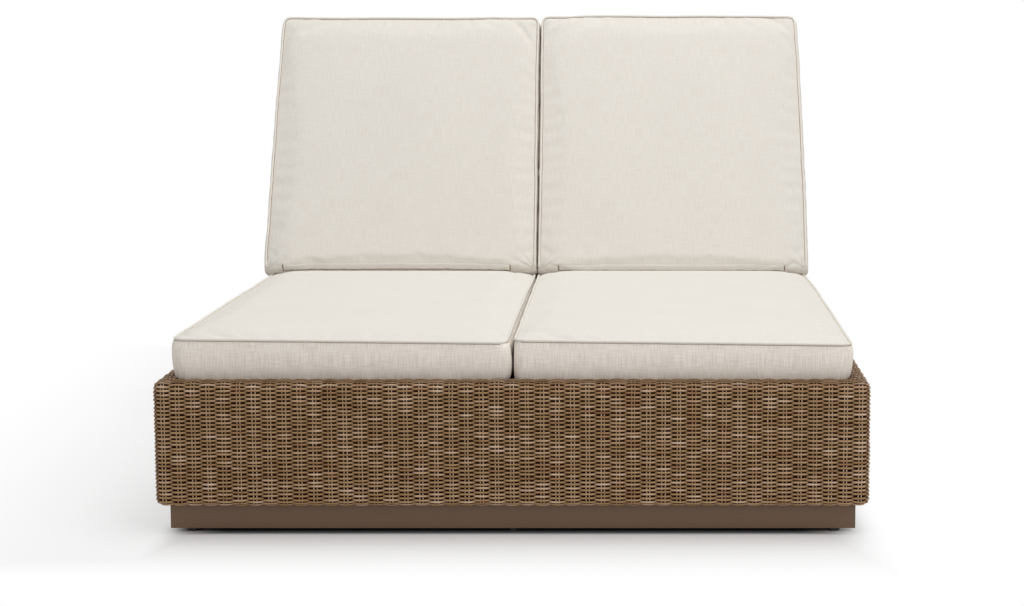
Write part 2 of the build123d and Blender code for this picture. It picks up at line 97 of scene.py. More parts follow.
class Wall(Enum):
    """The four woven walls, in order round the base: direction along the wall, and outwards."""

    FRONT = ((1.0, 0.0), (0.0, -1.0))
    RIGHT = ((0.0, 1.0), (1.0, 0.0))
    REAR = ((-1.0, 0.0), (0.0, 1.0))
    LEFT = ((0.0, -1.0), (-1.0, 0.0))

    @property
    def across(self) -> bool:
        """Whether the wall runs across the lounger."""
        return self in (Wall.FRONT, Wall.REAR)

    @property
    def half_length(self) -> float:
        """Half the wall's length, corner to corner."""
        return HALF_W if self.across else HALF_L

    @property
    def reach(self) -> float:
        """Distance from the middle of the base to the wall's face."""
        return HALF_L if self.across else HALF_W


class PadKind(Enum):
    """The two kinds of cushion."""

    SEAT = "seat"
    BACK = "back"


def linear(colour: Rgb) -> tuple[float, float, float, float]:
    """Turn a screen colour, 0 to 255, into the linear opaque colour that shaders take."""
    shares = (level / 255 for level in colour)
    return (*(s / 12.92 if s <= 0.04045 else ((s + 0.055) / 1.055) ** 2.4 for s in shares), 1.0)


def maths(operation: str, swapped: bool = False) -> Callable[..., "Value"]:
    """Return a method that adds one Math node.

    Args:
        operation: The node's operation.
        swapped: Whether the other number comes first.

    Returns:
        The method. It takes the other number, where the operation has one, and returns the node's result.
    """
    def add_node(value: "Value", other: Input = 0.0) -> "Value":
        """Add the node to the value's graph."""
        numbers = dict(enumerate((other, value) if swapped else (value, other)))
        return Value(value.graph, value.graph.node("ShaderNodeMath", {"operation": operation}, numbers).outputs[0])

    return add_node


class Value:
    """A number that varies over a surface. Arithmetic on it adds Math nodes."""

    __add__ = __radd__ = maths("ADD")
    __mul__ = __rmul__ = maths("MULTIPLY")
    __sub__ = maths("SUBTRACT")
    __rsub__ = maths("SUBTRACT", swapped=True)
    __abs__ = maths("ABSOLUTE")
    highest = maths("MAXIMUM")

    def __init__(self, graph: "Graph", socket: NodeSocket) -> None:
        """Wrap one output socket of a graph."""
        self.graph, self.socket = graph, socket

    def step(self, low: float, high: float) -> "Value":
        """Rise smoothly from 0 to 1 between two levels."""
        node = self.graph.node("ShaderNodeMapRange", {"interpolation_type": "SMOOTHSTEP"},
                               {0: self, 1: low, 2: high, 3: 0.0, 4: 1.0})
        return Value(self.graph, node.outputs[0])


class Graph:
    """The node tree of one material or of the world."""

    def __init__(self, owner: Any) -> None:
        """Take over a node tree and empty it.

        Args:
            owner: The material or world that has it.
        """
        owner.use_nodes = True
        self.tree = owner.node_tree
        self.tree.nodes.clear()

    def node(self, kind: str, settings: dict[str, Any] | None = None,
             sockets: dict[Any, Any] | None = None) -> bpy.types.Node:
        """Add one node.

        Args:
            kind: The node's type.
            settings: Its own settings.
            sockets: Values or links of its inputs, by name or place.

        Returns:
            The new node.
        """
        made = self.tree.nodes.new(kind)
        for name, value in (settings or {}).items():
            setattr(made, name, value)
        for name, value in (sockets or {}).items():
            source = value.socket if isinstance(value, Value) else value
            if isinstance(source, NodeSocket):
                self.tree.links.new(source, made.inputs[name])
            else:
                made.inputs[name].default_value = source
        return made

    def place(self) -> NodeSocket:
        """Return the point on the piece, in its own frame."""
        return self.node("ShaderNodeTexCoord").outputs["Object"]

    def attribute(self, name: str) -> Value:
        """Return a number stored on the mesh."""
        return Value(self, self.node("ShaderNodeAttribute", {"attribute_name": name}).outputs["Fac"])

    def layout(self, name: str) -> NodeSocket:
        """Return the flat layout of the cloth, in metres."""
        return self.node("ShaderNodeUVMap", {"uv_map": name}).outputs[0]

    def stretched(self, vector: NodeSocket, scale: Sequence[float]) -> NodeSocket:
        """Scale a vector along its axes."""
        return self.node("ShaderNodeVectorMath", {"operation": "MULTIPLY"}, {0: vector, 1: scale}).outputs[0]

    def noise(self, vector: NodeSocket, scale: float, detail: float = 2.0, rough: float = 0.5) -> Value:
        """Return smooth random variation around 0.5.

        Args:
            vector: Where it is read.
            scale: Features per metre.
            detail: Octaves.
            rough: How strong the fine octaves are.

        Returns:
            The varying number.
        """
        node = self.node("ShaderNodeTexNoise", None, {
            "Vector": vector, "Scale": scale, "Detail": detail, "Roughness": rough})
        return Value(self, node.outputs[0])

    def mix(self, share: Input, low: Input, high: Input) -> NodeSocket:
        """Mix two colours: a share of 0 gives the first, 1 the second."""
        return self.node("ShaderNodeMix", {"data_type": "RGBA"}, {0: share, 6: low, 7: high}).outputs[2]

    def ramp(self, value: Value, stops: Stops) -> NodeSocket:
        """Colour a number through stops.

        Args:
            value: The number.
            stops: Places and colours, in order.

        Returns:
            The colour.
        """
        node = self.node("ShaderNodeValToRGB", None, {0: value})
        elements = node.color_ramp.elements
        while len(elements) < len(stops):
            elements.new(1.0)
        for element, (place, colour) in zip(elements, stops):
            element.position, element.color = place, colour
        return node.outputs[0]

    def lighter(self, colour: Input, share: Value) -> NodeSocket:
        """Multiply a colour by a number."""
        return self.node("ShaderNodeVectorMath", {"operation": "SCALE"}, {0: colour, 3: share}).outputs[0]

    def bump(self, height: Value, depth: float, strength: float) -> NodeSocket:
        """Turn a height from 0 to 1, where 1 stands for a depth in metres, into a normal."""
        node = self.node("ShaderNodeBump", None, {"Strength": strength, "Distance": depth, "Height": height})
        return node.outputs[0]

    def surface(self, sockets: dict[str, Any]) -> None:
        """Finish the tree with a Principled surface."""
        shader = self.node("ShaderNodeBsdfPrincipled", None, sockets)
        self.node("ShaderNodeOutputMaterial", None, {0: shader.outputs[0]})

    def seen(self) -> Value:
        """Tell the rays that show the white surround from those that light the scene.

        Returns:
            1 for the rays that show it, else 0.
        """
        path = self.node("ShaderNodeLightPath")
        camera, glossy, through = (Value(self, path.outputs[name]) for name in (
            "Is Camera Ray", "Is Glossy Ray", "Is Transmission Ray"))
        return camera.highest(glossy).highest(through)


def new_material(name: str) -> tuple[Material, Graph]:
    """Make an empty material and its graph."""
    material = bpy.data.materials.new(name)
    return material, Graph(material)


@dataclass(frozen=True)
class Linen:
    """Natural cream linen with slubs both ways, and a painted crease shadow beside the seams.

    A cushion's mesh stores where its cloth is boxing, which is painted lighter, how much painted shade dims a back
    cushion, how far it lies from a seam, and where painted shade darkens it between two cushions. Welts and strips
    store only how far they lie from a seam.
    """

    face: Rgb = (231, 227, 219)
    # Painted light: the boxing colour is lighter than the face, standing in for the light that the upright boxing
    # lacks.
    boxing: Rgb = (253, 246, 236)
    shaded: Rgb = (188, 187, 184)
    slub: Rgb = (170, 147, 128)
    # Painted shade: the colour of the crease line beside the seams.
    stitch: Rgb = (146, 106, 74)
    # Painted shade: the colour of the cloth hidden between the two seat cushions.
    gap: Rgb = (50, 34, 24)
    warp: tuple[float, float, float] = (560.0, 26.0, 1.0)
    weft: tuple[float, float, float] = (26.0, 520.0, 1.0)
    slub_levels: tuple[float, float] = (0.36, 0.7)
    slub_strength: tuple[float, float] = (0.07, 0.3)
    muting: float = 0.19
    mottle: float = 0.14
    cloud: float = 0.05
    thread: float = 1100.0
    thread_stretch: float = 0.35
    stitch_strength: tuple[float, float] = (0.62, 0.2)
    gap_strength: float = 0.93
    stitch_start: tuple[float, float] = (0.3 * MM, 1.0 * MM)
    stitch_end: tuple[float, float] = (2.0 * MM, 3.0 * MM)
    bump_depth: float = 0.4 * MM

    def material(self) -> Material:
        """Build the material.

        Returns:
            The linen material.
        """
        material, g = new_material("linen")
        flat = g.layout("cloth")
        boxed, muted, edge = g.attribute("boxed"), g.attribute("muted"), g.attribute("edge")
        warp, weft = (g.noise(g.stretched(flat, scale), 1.0).step(*self.slub_levels)
                      for scale in (self.warp, self.weft))
        slubs = warp * 0.6 + weft * 0.4
        # Painted light: boxing, and a back's faces in part, take the lighter boxing colour; the share also strengthens
        # slubs.
        ground = g.mix(boxed, linear(self.face), linear(self.boxing))
        # Painted shade: a back cushion's cloth is dimmed towards a shaded grey, a shaded copy of the seat linen.
        ground = g.mix(muted * self.muting, ground, linear(self.shaded))
        faint, strong = self.slub_strength
        tone = g.mix(slubs * (boxed * strong + faint), ground, linear(self.slub))
        # Painted shade: a dark crease line beside each seam, stronger on the back cushions.
        crease = edge.step(*self.stitch_start) * (1.0 - edge.step(*self.stitch_end))
        shown, extra = self.stitch_strength
        tone = g.mix(crease * (muted * extra + shown), tone, linear(self.stitch))
        # Painted shade: cloth hidden between the two seat cushions darkens towards a deep brown.
        tone = g.mix(g.attribute("between") * self.gap_strength, tone, linear(self.gap))
        mottle, cloud = g.noise(flat, 260.0, 3.0, 0.7), g.noise(flat, 7.0, 3.0, 0.55)
        fine, coarse = self.thread, self.thread * self.thread_stretch
        threads = [g.noise(g.stretched(flat, scale), 1.0, 1.0) for scale in ((fine, coarse, 1.0), (coarse, fine, 1.0))]
        height = threads[0] * 0.5 + threads[1] * 0.5 + slubs * 0.5
        g.surface({
            "Base Color": g.lighter(tone, (cloud - 0.5) * self.cloud + (mottle - 0.5) * self.mottle + 1.0),
            "Roughness": 0.92,
            "Specular IOR Level": 0.15,
            "Sheen Weight": 0.08,
            "Sheen Roughness": 0.6,
            "Normal": g.bump(height, self.bump_depth, 0.6),
        })
        return material


@dataclass(frozen=True)
class Wicker:
    """Round resin strands in mixed browns. Each mesh stores its strands' tones and where painted shade darkens them.
    """

    browns: tuple[tuple[float, Rgb], ...] = (
        (0.05, (125, 83, 51)),
        (0.3, (158, 119, 77)),
        (0.5, (168, 133, 91)),
        (0.68, (188, 151, 115)),
        (0.95, (225, 196, 168)),
    )
    sunk: Rgb = (42, 12, 0)
    drift: float = 34.0
    drift_share: float = 0.4
    coat: float = 0.75
    grain: float = 900.0
    bump_depth: float = 0.25 * MM

    def material(self) -> Material:
        """Build the material.

        Returns:
            The strand material.
        """
        material, g = new_material("resin_wicker")
        spot = g.place()
        drift = g.noise(spot, self.drift, 2.0, 0.6)
        tone = g.attribute("tone") * 0.8 + (drift - 0.5) * self.drift_share + 0.1
        strand = g.ramp(tone, [(place, linear(brown)) for place, brown in self.browns])
        # Painted shade: strands darken towards a deep brown in recesses, along lower edges and on the rail top; the
        # coat thins there.
        sunk = g.attribute("sunk").step(0.0, 0.6)
        grain = g.noise(spot, self.grain, 2.0, 0.6)
        g.surface({
            "Base Color": g.lighter(g.mix(sunk, strand, linear(self.sunk)), grain * 0.3 + 0.85),
            "Roughness": grain * 0.14 + sunk * 0.3 + 0.45,
            "Specular IOR Level": 0.08,
            "Coat Weight": (1.0 - sunk) * self.coat,
            "Coat Roughness": 0.34,
            "Normal": g.bump(grain, self.bump_depth, 0.5),
        })
        return material


@dataclass(frozen=True)
class Coating:
    """Satin powder coat, bare metal or plastic, with a fine orange peel and, on some, drawn streaks."""

    name: str
    colour: Rgb
    rough: float = 0.42
    metallic: float = 0.0
    peel: float = 420.0
    depth: float = 0.08 * MM
    streak: float = 0.0

    def material(self) -> Material:
        """Build the material.

        Returns:
            The coating.
        """
        material, g = new_material(self.name)
        spot = g.place()
        cloud, peel = g.noise(spot, 7.0, 3.0, 0.6), g.noise(spot, self.peel)
        drawn = g.noise(g.stretched(spot, (3.0, 3.0, 260.0)), 1.0)
        share = cloud * 0.14 + peel * 0.05 + drawn * self.streak + (0.9 - self.streak * 0.5)
        g.surface({
            "Base Color": g.lighter(linear(self.colour)[:3], share),
            "Roughness": cloud * 0.12 + peel * 0.06 + (self.rough - 0.09),
            "Metallic": self.metallic,
            "Normal": g.bump(peel, self.depth, 0.6),
        })
        return material


@dataclass(frozen=True)
class Finishes:
    """Every finish of the lounger, by the record's slots."""

    linen: Material
    wicker: Material
    thread: Material
    by_slot: dict[str, Material]

    @classmethod
    def make(cls) -> "Finishes":
        """Build every finish.

        Returns:
            The finishes.
        """
        coat = Coating("powder_coat", (108, 82, 60), 0.5, streak=0.1).material()
        linen, wicker = Linen().material(), Wicker().material()
        coatings = (
            Coating("hardware_steel", (52, 48, 45), 0.5),
            Coating("bright_steel", (176, 174, 170), 0.32, 1.0, 900.0, 0.03 * MM),
            Coating("glide_plastic", (30, 29, 28), 0.55),
            Coating("bumper_rubber", (26, 26, 26), 0.8, 0.0, 1400.0, 0.1 * MM),
        )
        slots = {coating.name: coating.material() for coating in coatings}
        slots |= {"powder_coat": coat, "resin_wicker": wicker, "cushion_fabric": linen}
        return cls(linen, wicker, Coating("seam_thread", (122, 86, 58), 0.9).material(), slots)

    def dress_frame(self, nodes: dict[str, Object], record: dict[str, Any]) -> int:
        """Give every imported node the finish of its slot.

        Args:
            nodes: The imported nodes.
            record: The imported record.

        Returns:
            How many nodes were dressed.
        """
        slots = {part["node"]: part["material_slot"] for part in record["subparts"]}
        for name, node in nodes.items():
            for place in node.material_slots:
                place.material = self.by_slot[slots[name]]
        return len(nodes)


def store(mesh: Mesh, name: str, values: Array) -> None:
    """Store one number for each vertex."""
    mesh.attributes.new(name, "FLOAT", "POINT").data.foreach_set("value", np.asarray(values, np.float32))


def vectors(mesh: Mesh, name: str = "co") -> Array:
    """Return one vector of each vertex of a mesh.

    Args:
        mesh: The mesh.
        name: The vector: "co" for the points, or "normal".

    Returns:
        One row for each vertex.
    """
    rows = np.zeros(len(mesh.vertices) * 3, np.float32)
    mesh.vertices.foreach_get(name, rows)
    return rows.reshape(-1, 3).astype(float)


def quads(grid: Array) -> Array:
    """Return the four-sided faces between the points of an index grid."""
    return np.stack([grid[:-1, :-1], grid[1:, :-1], grid[1:, 1:], grid[:-1, 1:]], -1).reshape(-1, 4)


def move(points: Array, place: Matrix) -> Array:
    """Move points, one row each, by a matrix."""
    grid = np.array(place)
    return points @ grid[:3, :3].T + grid[:3, 3]


def place_object(mesh: Mesh, name: str, material: Material) -> Object:
    """Link a mesh to the scene as an object with one finish.

    Args:
        mesh: The mesh.
        name: The object's name.
        material: Its finish.

    Returns:
        The object.
    """
    made = bpy.data.objects.new(name, mesh)
    bpy.context.scene.collection.objects.link(made)
    mesh.materials.append(material)
    return made


def take_modified(piece: Object) -> None:
    """Replace a piece's mesh by the one that its modifiers make.

    Args:
        piece: The piece.
    """
    graph = bpy.context.evaluated_depsgraph_get()
    made = bpy.data.meshes.new_from_object(piece.evaluated_get(graph))
    piece.modifiers.clear()
    piece.vertex_groups.clear()
    piece.data = made


def fit(piece: Object, body: str, slot: str, *nodes: str) -> None:
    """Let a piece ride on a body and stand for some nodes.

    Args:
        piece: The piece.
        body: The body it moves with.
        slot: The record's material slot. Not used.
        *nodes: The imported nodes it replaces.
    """
    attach(piece, body)
    if nodes:
        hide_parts(*nodes)
    triangles = sum(len(face.vertices) - 2 for face in piece.data.polygons)
    LOG.info("%s: %d triangles on %s", piece.name, triangles, body)


@dataclass
class StrandMesh:
    """Closed round strands gathered into one mesh.

    The edge shade is painted shade along a strand's lower edge, with less along its upper edge.
    """

    sides: int = 5
    rim: float = 0.0
    upper_rim: float = 0.4
    vertices: list[Array] = field(default_factory=list)
    tones: list[Array] = field(default_factory=list)
    sinks: list[Array] = field(default_factory=list)
    loops: list[Array] = field(default_factory=list)
    counts: list[Array] = field(default_factory=list)
    total: int = 0

    def add(self, line: Array, out: Any, up: Any, size: tuple[Any, Any], tone: Any = 0.0, sunk: Any = 0.0,
            ring: bool = False, behind: Any = None) -> None:
        """Add one strand. All but the line and the ring may be fixed, or given at each point.

        Args:
            line: Points along its middle, one row each.
            out: Unit vectors across it, away from the frame.
            up: Unit vectors across it, at right angles to the first.
            size: Half its depth along the first and half its width along the second.
            tone: Its tone.
            sunk: Painted shade where it lies behind the others, from 0 to 1.
            ring: Whether it closes on itself.
            behind: The same painted shade for its inner side, which is seen from inside the base.
        """
        count, sides = len(line), self.sides
        turn = np.arange(sides) * (2 * math.pi / sides)
        deep, wide = (np.broadcast_to(value, count)[:, None, None] for value in size)
        out, up = (np.broadcast_to(vector, line.shape)[:, None, :] for vector in (out, up))
        offset = np.cos(turn)[None, :, None] * out * deep + np.sin(turn)[None, :, None] * up * wide
        self.vertices.append((line[:, None, :] + offset).reshape(-1, 3))
        self.tones.append(np.repeat(np.broadcast_to(tone, count), sides))
        # Painted shade: darker along the strand's lower edge, less along its upper edge.
        edge_shades = np.where(np.sin(turn) < 0, -1.0, self.upper_rim) * np.sin(turn) * self.rim
        # Painted shade: the front takes the recess shade and the inner side its own, or the lower-edge shade where
        # darker.
        front, back = (np.broadcast_to(value, count)[:, None] for value in (sunk, sunk if behind is None else behind))
        self.sinks.append(np.maximum(np.where(np.cos(turn) > -0.1, front, back), edge_shades).reshape(-1))
        last = count if ring else count - 1
        rows = np.arange(last)[:, None] * sides
        after = (rows + sides) % (count * sides)
        near, far = np.arange(sides)[None, :], ((np.arange(sides) + 1) % sides)[None, :]
        cells = np.stack([rows + near, after + near, after + far, rows + far], -1)
        self.loops.append(self.total + cells.reshape(-1))
        self.counts.append(np.full(last * sides, 4))
        if not ring:
            caps = np.concatenate([np.arange(sides), (count - 1) * sides + np.arange(sides)[::-1]])
            self.loops.append(self.total + caps)
            self.counts.append(np.full(2, sides))
        self.total += count * sides

    def add_placed(self, place: Matrix, line: Array, out: Any, up: Any, size: tuple[float, float],
                   tone: Any = 0.0, ring: bool = False) -> None:
        """Add one strand that is given in the frame of a matrix, and reversed if the matrix mirrors it.

        Args:
            place: The matrix.
            line: Points along its middle.
            out: Unit vectors across it.
            up: Unit vectors across it, at right angles to the first.
            size: Half its depth and half its width.
            tone: Its tone.
            ring: Whether it closes on itself.
        """
        turn = np.array(place)[:3, :3].T
        order = -1 if np.linalg.det(turn) < 0 else 1
        out, up = (np.broadcast_to(vector, line.shape)[::order] @ turn for vector in (out, up))
        self.add(move(line[::order], place), out, up, size, np.broadcast_to(tone, len(line))[::order], ring=ring)

    def build(self, name: str, material: Material) -> Object:
        """Make the object.

        Args:
            name: Its name.
            material: Its finish.

        Returns:
            The object, smooth shaded.
        """
        mesh = bpy.data.meshes.new(name)
        vertices = np.concatenate(self.vertices).astype(np.float32)
        loops = np.concatenate(self.loops).astype(np.int32)
        counts = np.concatenate(self.counts)
        mesh.vertices.add(len(vertices))
        mesh.vertices.foreach_set("co", vertices.ravel())
        mesh.loops.add(len(loops))
        mesh.loops.foreach_set("vertex_index", loops)
        mesh.polygons.add(len(counts))
        starts = np.concatenate([[0], np.cumsum(counts)[:-1]]).astype(np.int32)
        mesh.polygons.foreach_set("loop_start", starts)
        mesh.update(calc_edges=True)
        mesh.validate()
        mesh.shade_smooth()
        store(mesh, "tone", np.concatenate(self.tones))
        store(mesh, "sunk", np.concatenate(self.sinks))
        return place_object(mesh, name, material)


@dataclass(frozen=True)
class Strand:
    """Sizes of the weave: strands that pass over and under pairs of stakes."""

    half_depth: float = 2.0 * MM
    half_width: float = 2.5 * MM
    cross_width: float = 2.5 * MM
    hidden_width: float = 3.1 * MM
    pitch: float = 4.0 * MM
    over: float = 2.6 * MM
    under: float = 3.3 * MM
    stake_radius: float = 1.25 * MM
    stake_gap: float = 6.4 * MM
    stake_out: float = 0.6 * MM
    flatness: float = 0.3
    own_tone: float = 0.3
    samples: int = 5

    def sway(self, column: Array, row: int) -> Array:
        """Return how a strand sways, from -1 where it lies deepest to 1, at places counted in columns."""
        wave = np.cos(math.pi * column) * (1.0 if row % 2 == 0 else -1.0)
        return wave * (1 + self.flatness - self.flatness * wave * wave)

    def reach(self, sway: Array) -> Array:
        """Return the distance outwards of each place on a strand."""
        return np.where(sway > 0, sway * self.over, sway * self.under)

    def width(self, sway: Array) -> Array:
        """Return half the width of each place on a strand, which changes where it crosses its neighbours."""
        end = np.where(sway > 0, self.half_width, self.hidden_width)
        return self.cross_width + (end - self.cross_width) * np.abs(sway) ** 0.85

    def tone(self, column: Array, every: Array, rng: np.random.Generator) -> Array:
        """Return the random tone of each place: partly the strand's own, partly changing from column to column."""
        own = rng.random() * self.own_tone
        return own + (1 - self.own_tone) * np.interp(column, every, rng.random(len(every)))


@dataclass
class Profile:
    """The woven skin's section, from under the frame up the face, over the rail and down the lip."""

    under: float = 47.5 * MM
    bottom_radius: float = 12 * MM
    top_radius: float = 16 * MM
    rail: float = 40 * MM
    lip_radius: float = 6 * MM
    lip_end: float = 275.5 * MM
    depth: float = 2.6 * MM

    def runs(self) -> list[tuple[float, float]]:
        """Return the section's seven runs.

        Returns:
            The length and radius of each. A straight one has radius 0.
        """
        low, top, lip = self.bottom_radius, self.top_radius, self.lip_radius
        return [
            (self.under - low, 0.0),
            (low * QUARTER, low),
            (RAIL_TOP - PLINTH_TOP - low - top, 0.0),
            (top * QUARTER, top),
            (self.rail - top - lip, 0.0),
            (lip * QUARTER, lip),
            (RAIL_TOP - lip - self.lip_end, 0.0),
        ]

    def at(self, s: float) -> tuple[float, float, float, float]:
        """Return the middle of the weave at a length along the section.

        Args:
            s: Length from the inner end of the wrap under the frame.

        Returns:
            Distance in from the face, height, and the outward and upward parts of the normal.
        """
        d, z, angle = self.under, PLINTH_TOP, -QUARTER
        out, rise = 0.0, -1.0
        for length, radius in self.runs():
            step = min(s, length)
            s -= step
            if radius > 0:
                d, z = d + radius * out, z - radius * rise
                angle += step / radius
                out, rise = math.cos(angle), math.sin(angle)
                d, z = d - radius * out, z + radius * rise
            else:
                d, z = d + step * rise, z + step * out
        return d + out * self.depth, z - rise * self.depth, out, rise


@dataclass
class WovenBase:
    """The woven skin of the base: rows of strands over pairs of stakes, wrapped round the frame."""

    finishes: Finishes
    strand: Strand = field(default_factory=Strand)
    profile: Profile = field(default_factory=Profile)
    corner: float = 18 * MM
    columns_across: int = 47
    columns_along: int = 69
    fade: float = 8 * MM
    wobble: float = 0.26 * MM
    wobble_knots: int = 23
    stray: float = 0.3 * MM
    uneven: float = 0.13
    calmer_edge: float = 0.3
    # Painted shade: how dark strands are painted where they cross and dive under, on the rail top under the cushion's
    # shadow,
    # and at least how dark on their inner side.
    sunk_level: float = 0.22
    rail_sunk: float = 0.34
    inner_sunk: float = 0.1
    seed: int = 11
    stake_wobble: float = 0.4 * MM
    stake_points: int = 60

    def build(self) -> None:
        """Weave the four walls."""
        start = 0
        for wall in Wall:
            columns = self.columns_across if wall.across else self.columns_along
            self._weave(wall, columns, start)
            start += columns

    def _plan(self, wall: Wall, t: Array, d: Array) -> tuple[Array, Array]:
        """Return where points of a wall are in plan.

        Args:
            wall: The wall.
            t: Length along its face from the middle.
            d: Distance in from its face.

        Returns:
            The points and their outward unit vectors.
        """
        straight = wall.half_length - self.corner
        past = np.clip((np.abs(t) - straight) / self.corner, 0.0, QUARTER)
        sign = np.sign(t)
        radius = self.corner - d
        along = np.where(past > 0, sign * (straight + radius * np.sin(past)), t)
        reach = wall.reach - self.corner + radius * np.cos(past)
        side, out = np.array(wall.value[0]), np.array(wall.value[1])
        points = along[:, None] * side + reach[:, None] * out
        normals = (sign * np.sin(past))[:, None] * side + np.cos(past)[:, None] * out
        return points, normals

    def _weave(self, wall: Wall, columns: int, start: int) -> None:
        """Weave one wall as a face piece and a piece of wraps and stakes.

        Args:
            wall: The wall.
            columns: How many columns it has.
            start: The number of its first column, counted round the base.
        """
        rng = np.random.default_rng(self.seed + start)
        straight = wall.half_length - self.corner
        half = straight + self.corner * math.pi / 4
        pitch = 2 * half / columns
        lengths = [length for length, _ in self.profile.runs()]
        face_start, face_end = sum(lengths[:2]), sum(lengths[:3])
        every = np.arange(start - 2, start + columns + 2)
        knots = np.linspace(-half, half, self.wobble_knots)
        face, wraps = StrandMesh(rim=0.42), StrandMesh(rim=0.36)
        s, row = self.strand.pitch * 0.5, 0
        while s < sum(lengths):
            d, z, out, rise = self.profile.at(s)
            limit = half if d < self.corner else straight - (d - self.corner)
            t = np.linspace(-limit, limit, int(round(2 * limit / pitch * self.strand.samples)) + 1)
            column = t / pitch + start + (columns - 1) / 2
            calm = 1.0 if d < self.corner else np.clip((limit - np.abs(t)) / self.fade, 0.0, 1.0)
            wobble = np.interp(t, knots, rng.normal(0, self.wobble, self.wobble_knots))
            sway = self.strand.sway(column, row) * calm * (1.0 - self.calmer_edge * abs(rise))
            push = self.strand.reach(sway) * np.interp(column, every, rng.normal(1, self.uneven, len(every)))
            wobble = wobble + np.interp(column, every, rng.normal(0, self.stray, len(every)))
            plan, normal = self._plan(wall, t, d - out * push + rise * wobble)
            line = np.column_stack([plan, z + rise * push + out * wobble])
            away = np.column_stack([normal * out, np.full(len(t), rise)])
            up = np.column_stack([-normal * rise, np.full(len(t), out)])
            tone = self.strand.tone(column, every, rng)
            # Painted shade: strands darken where they cross and dive under, where they face up on the rail top, and on
            # their inner side.
            (face if face_start <= s < face_end else wraps).add(
                line, away, up, (self.strand.half_depth, self.strand.width(sway)), tone,
                sunk=np.clip(self.sunk_level - sway, max(0.0, self.rail_sunk * rise), 1.0),
                behind=np.clip(self.sunk_level + sway, self.inner_sunk, 1.0))
            s += self.strand.pitch
            row += 1
        self._stakes(wall, wraps, columns, pitch, rng)
        name = wall.name.lower()
        for label, mesh in (("face", face), ("wraps", wraps)):
            fit(mesh.build(f"woven_{label}_{name}", self.finishes.wicker), "base", "resin_wicker", f"woven_{name}")

    def _stakes(self, wall: Wall, mesh: StrandMesh, columns: int, pitch: float, rng: np.random.Generator) -> None:
        """Add the pairs of stakes that the strands pass over and under.

        Args:
            wall: The wall.
            mesh: The mesh that takes them.
            columns: How many columns the wall has.
            pitch: Distance between columns.
            rng: The wall's random numbers.
        """
        total = sum(length for length, _ in self.profile.runs())
        stations = np.array([self.profile.at(s) for s in np.linspace(1 * MM, total - 1 * MM, self.stake_points)])
        straight = wall.half_length - self.corner
        knots = np.arange(0, self.stake_points + 1, 6)
        for k in range(columns):
            for side in (-0.5, 0.5):
                t = (k - (columns - 1) / 2) * pitch + side * self.strand.stake_gap
                keep = (stations[:, 0] < self.corner) | (abs(t) < straight - (stations[:, 0] - self.corner))
                run = stations[int(np.argmax(keep)):len(keep) - int(np.argmax(keep[::-1]))]
                bend = rng.normal(0, self.stake_wobble, len(knots))
                plan, normal = self._plan(wall, t + np.interp(np.arange(len(run)), knots, bend), run[:, 0])
                away = np.column_stack([normal * run[:, 2:3], run[:, 3]])
                line = np.column_stack([plan, run[:, 1]]) + away * self.strand.stake_out
                across = np.column_stack([-normal[:, 1], normal[:, 0], np.zeros(len(run))])
                radius = self.strand.stake_radius
                mesh.add(line, away, across, (radius, radius), 0.7 + 0.5 * rng.random())


def raised(side: Side) -> Matrix:
    """Return the place of a raised back, from its own flat frame. A left-hand back is mirrored."""
    lift = Matrix.Translation((0, HINGE_Y, HINGE_Z)) @ Matrix.Rotation(math.radians(RECLINE), 4, "X")
    return Matrix.Diagonal((side.value, 1, 1, 1)) @ lift


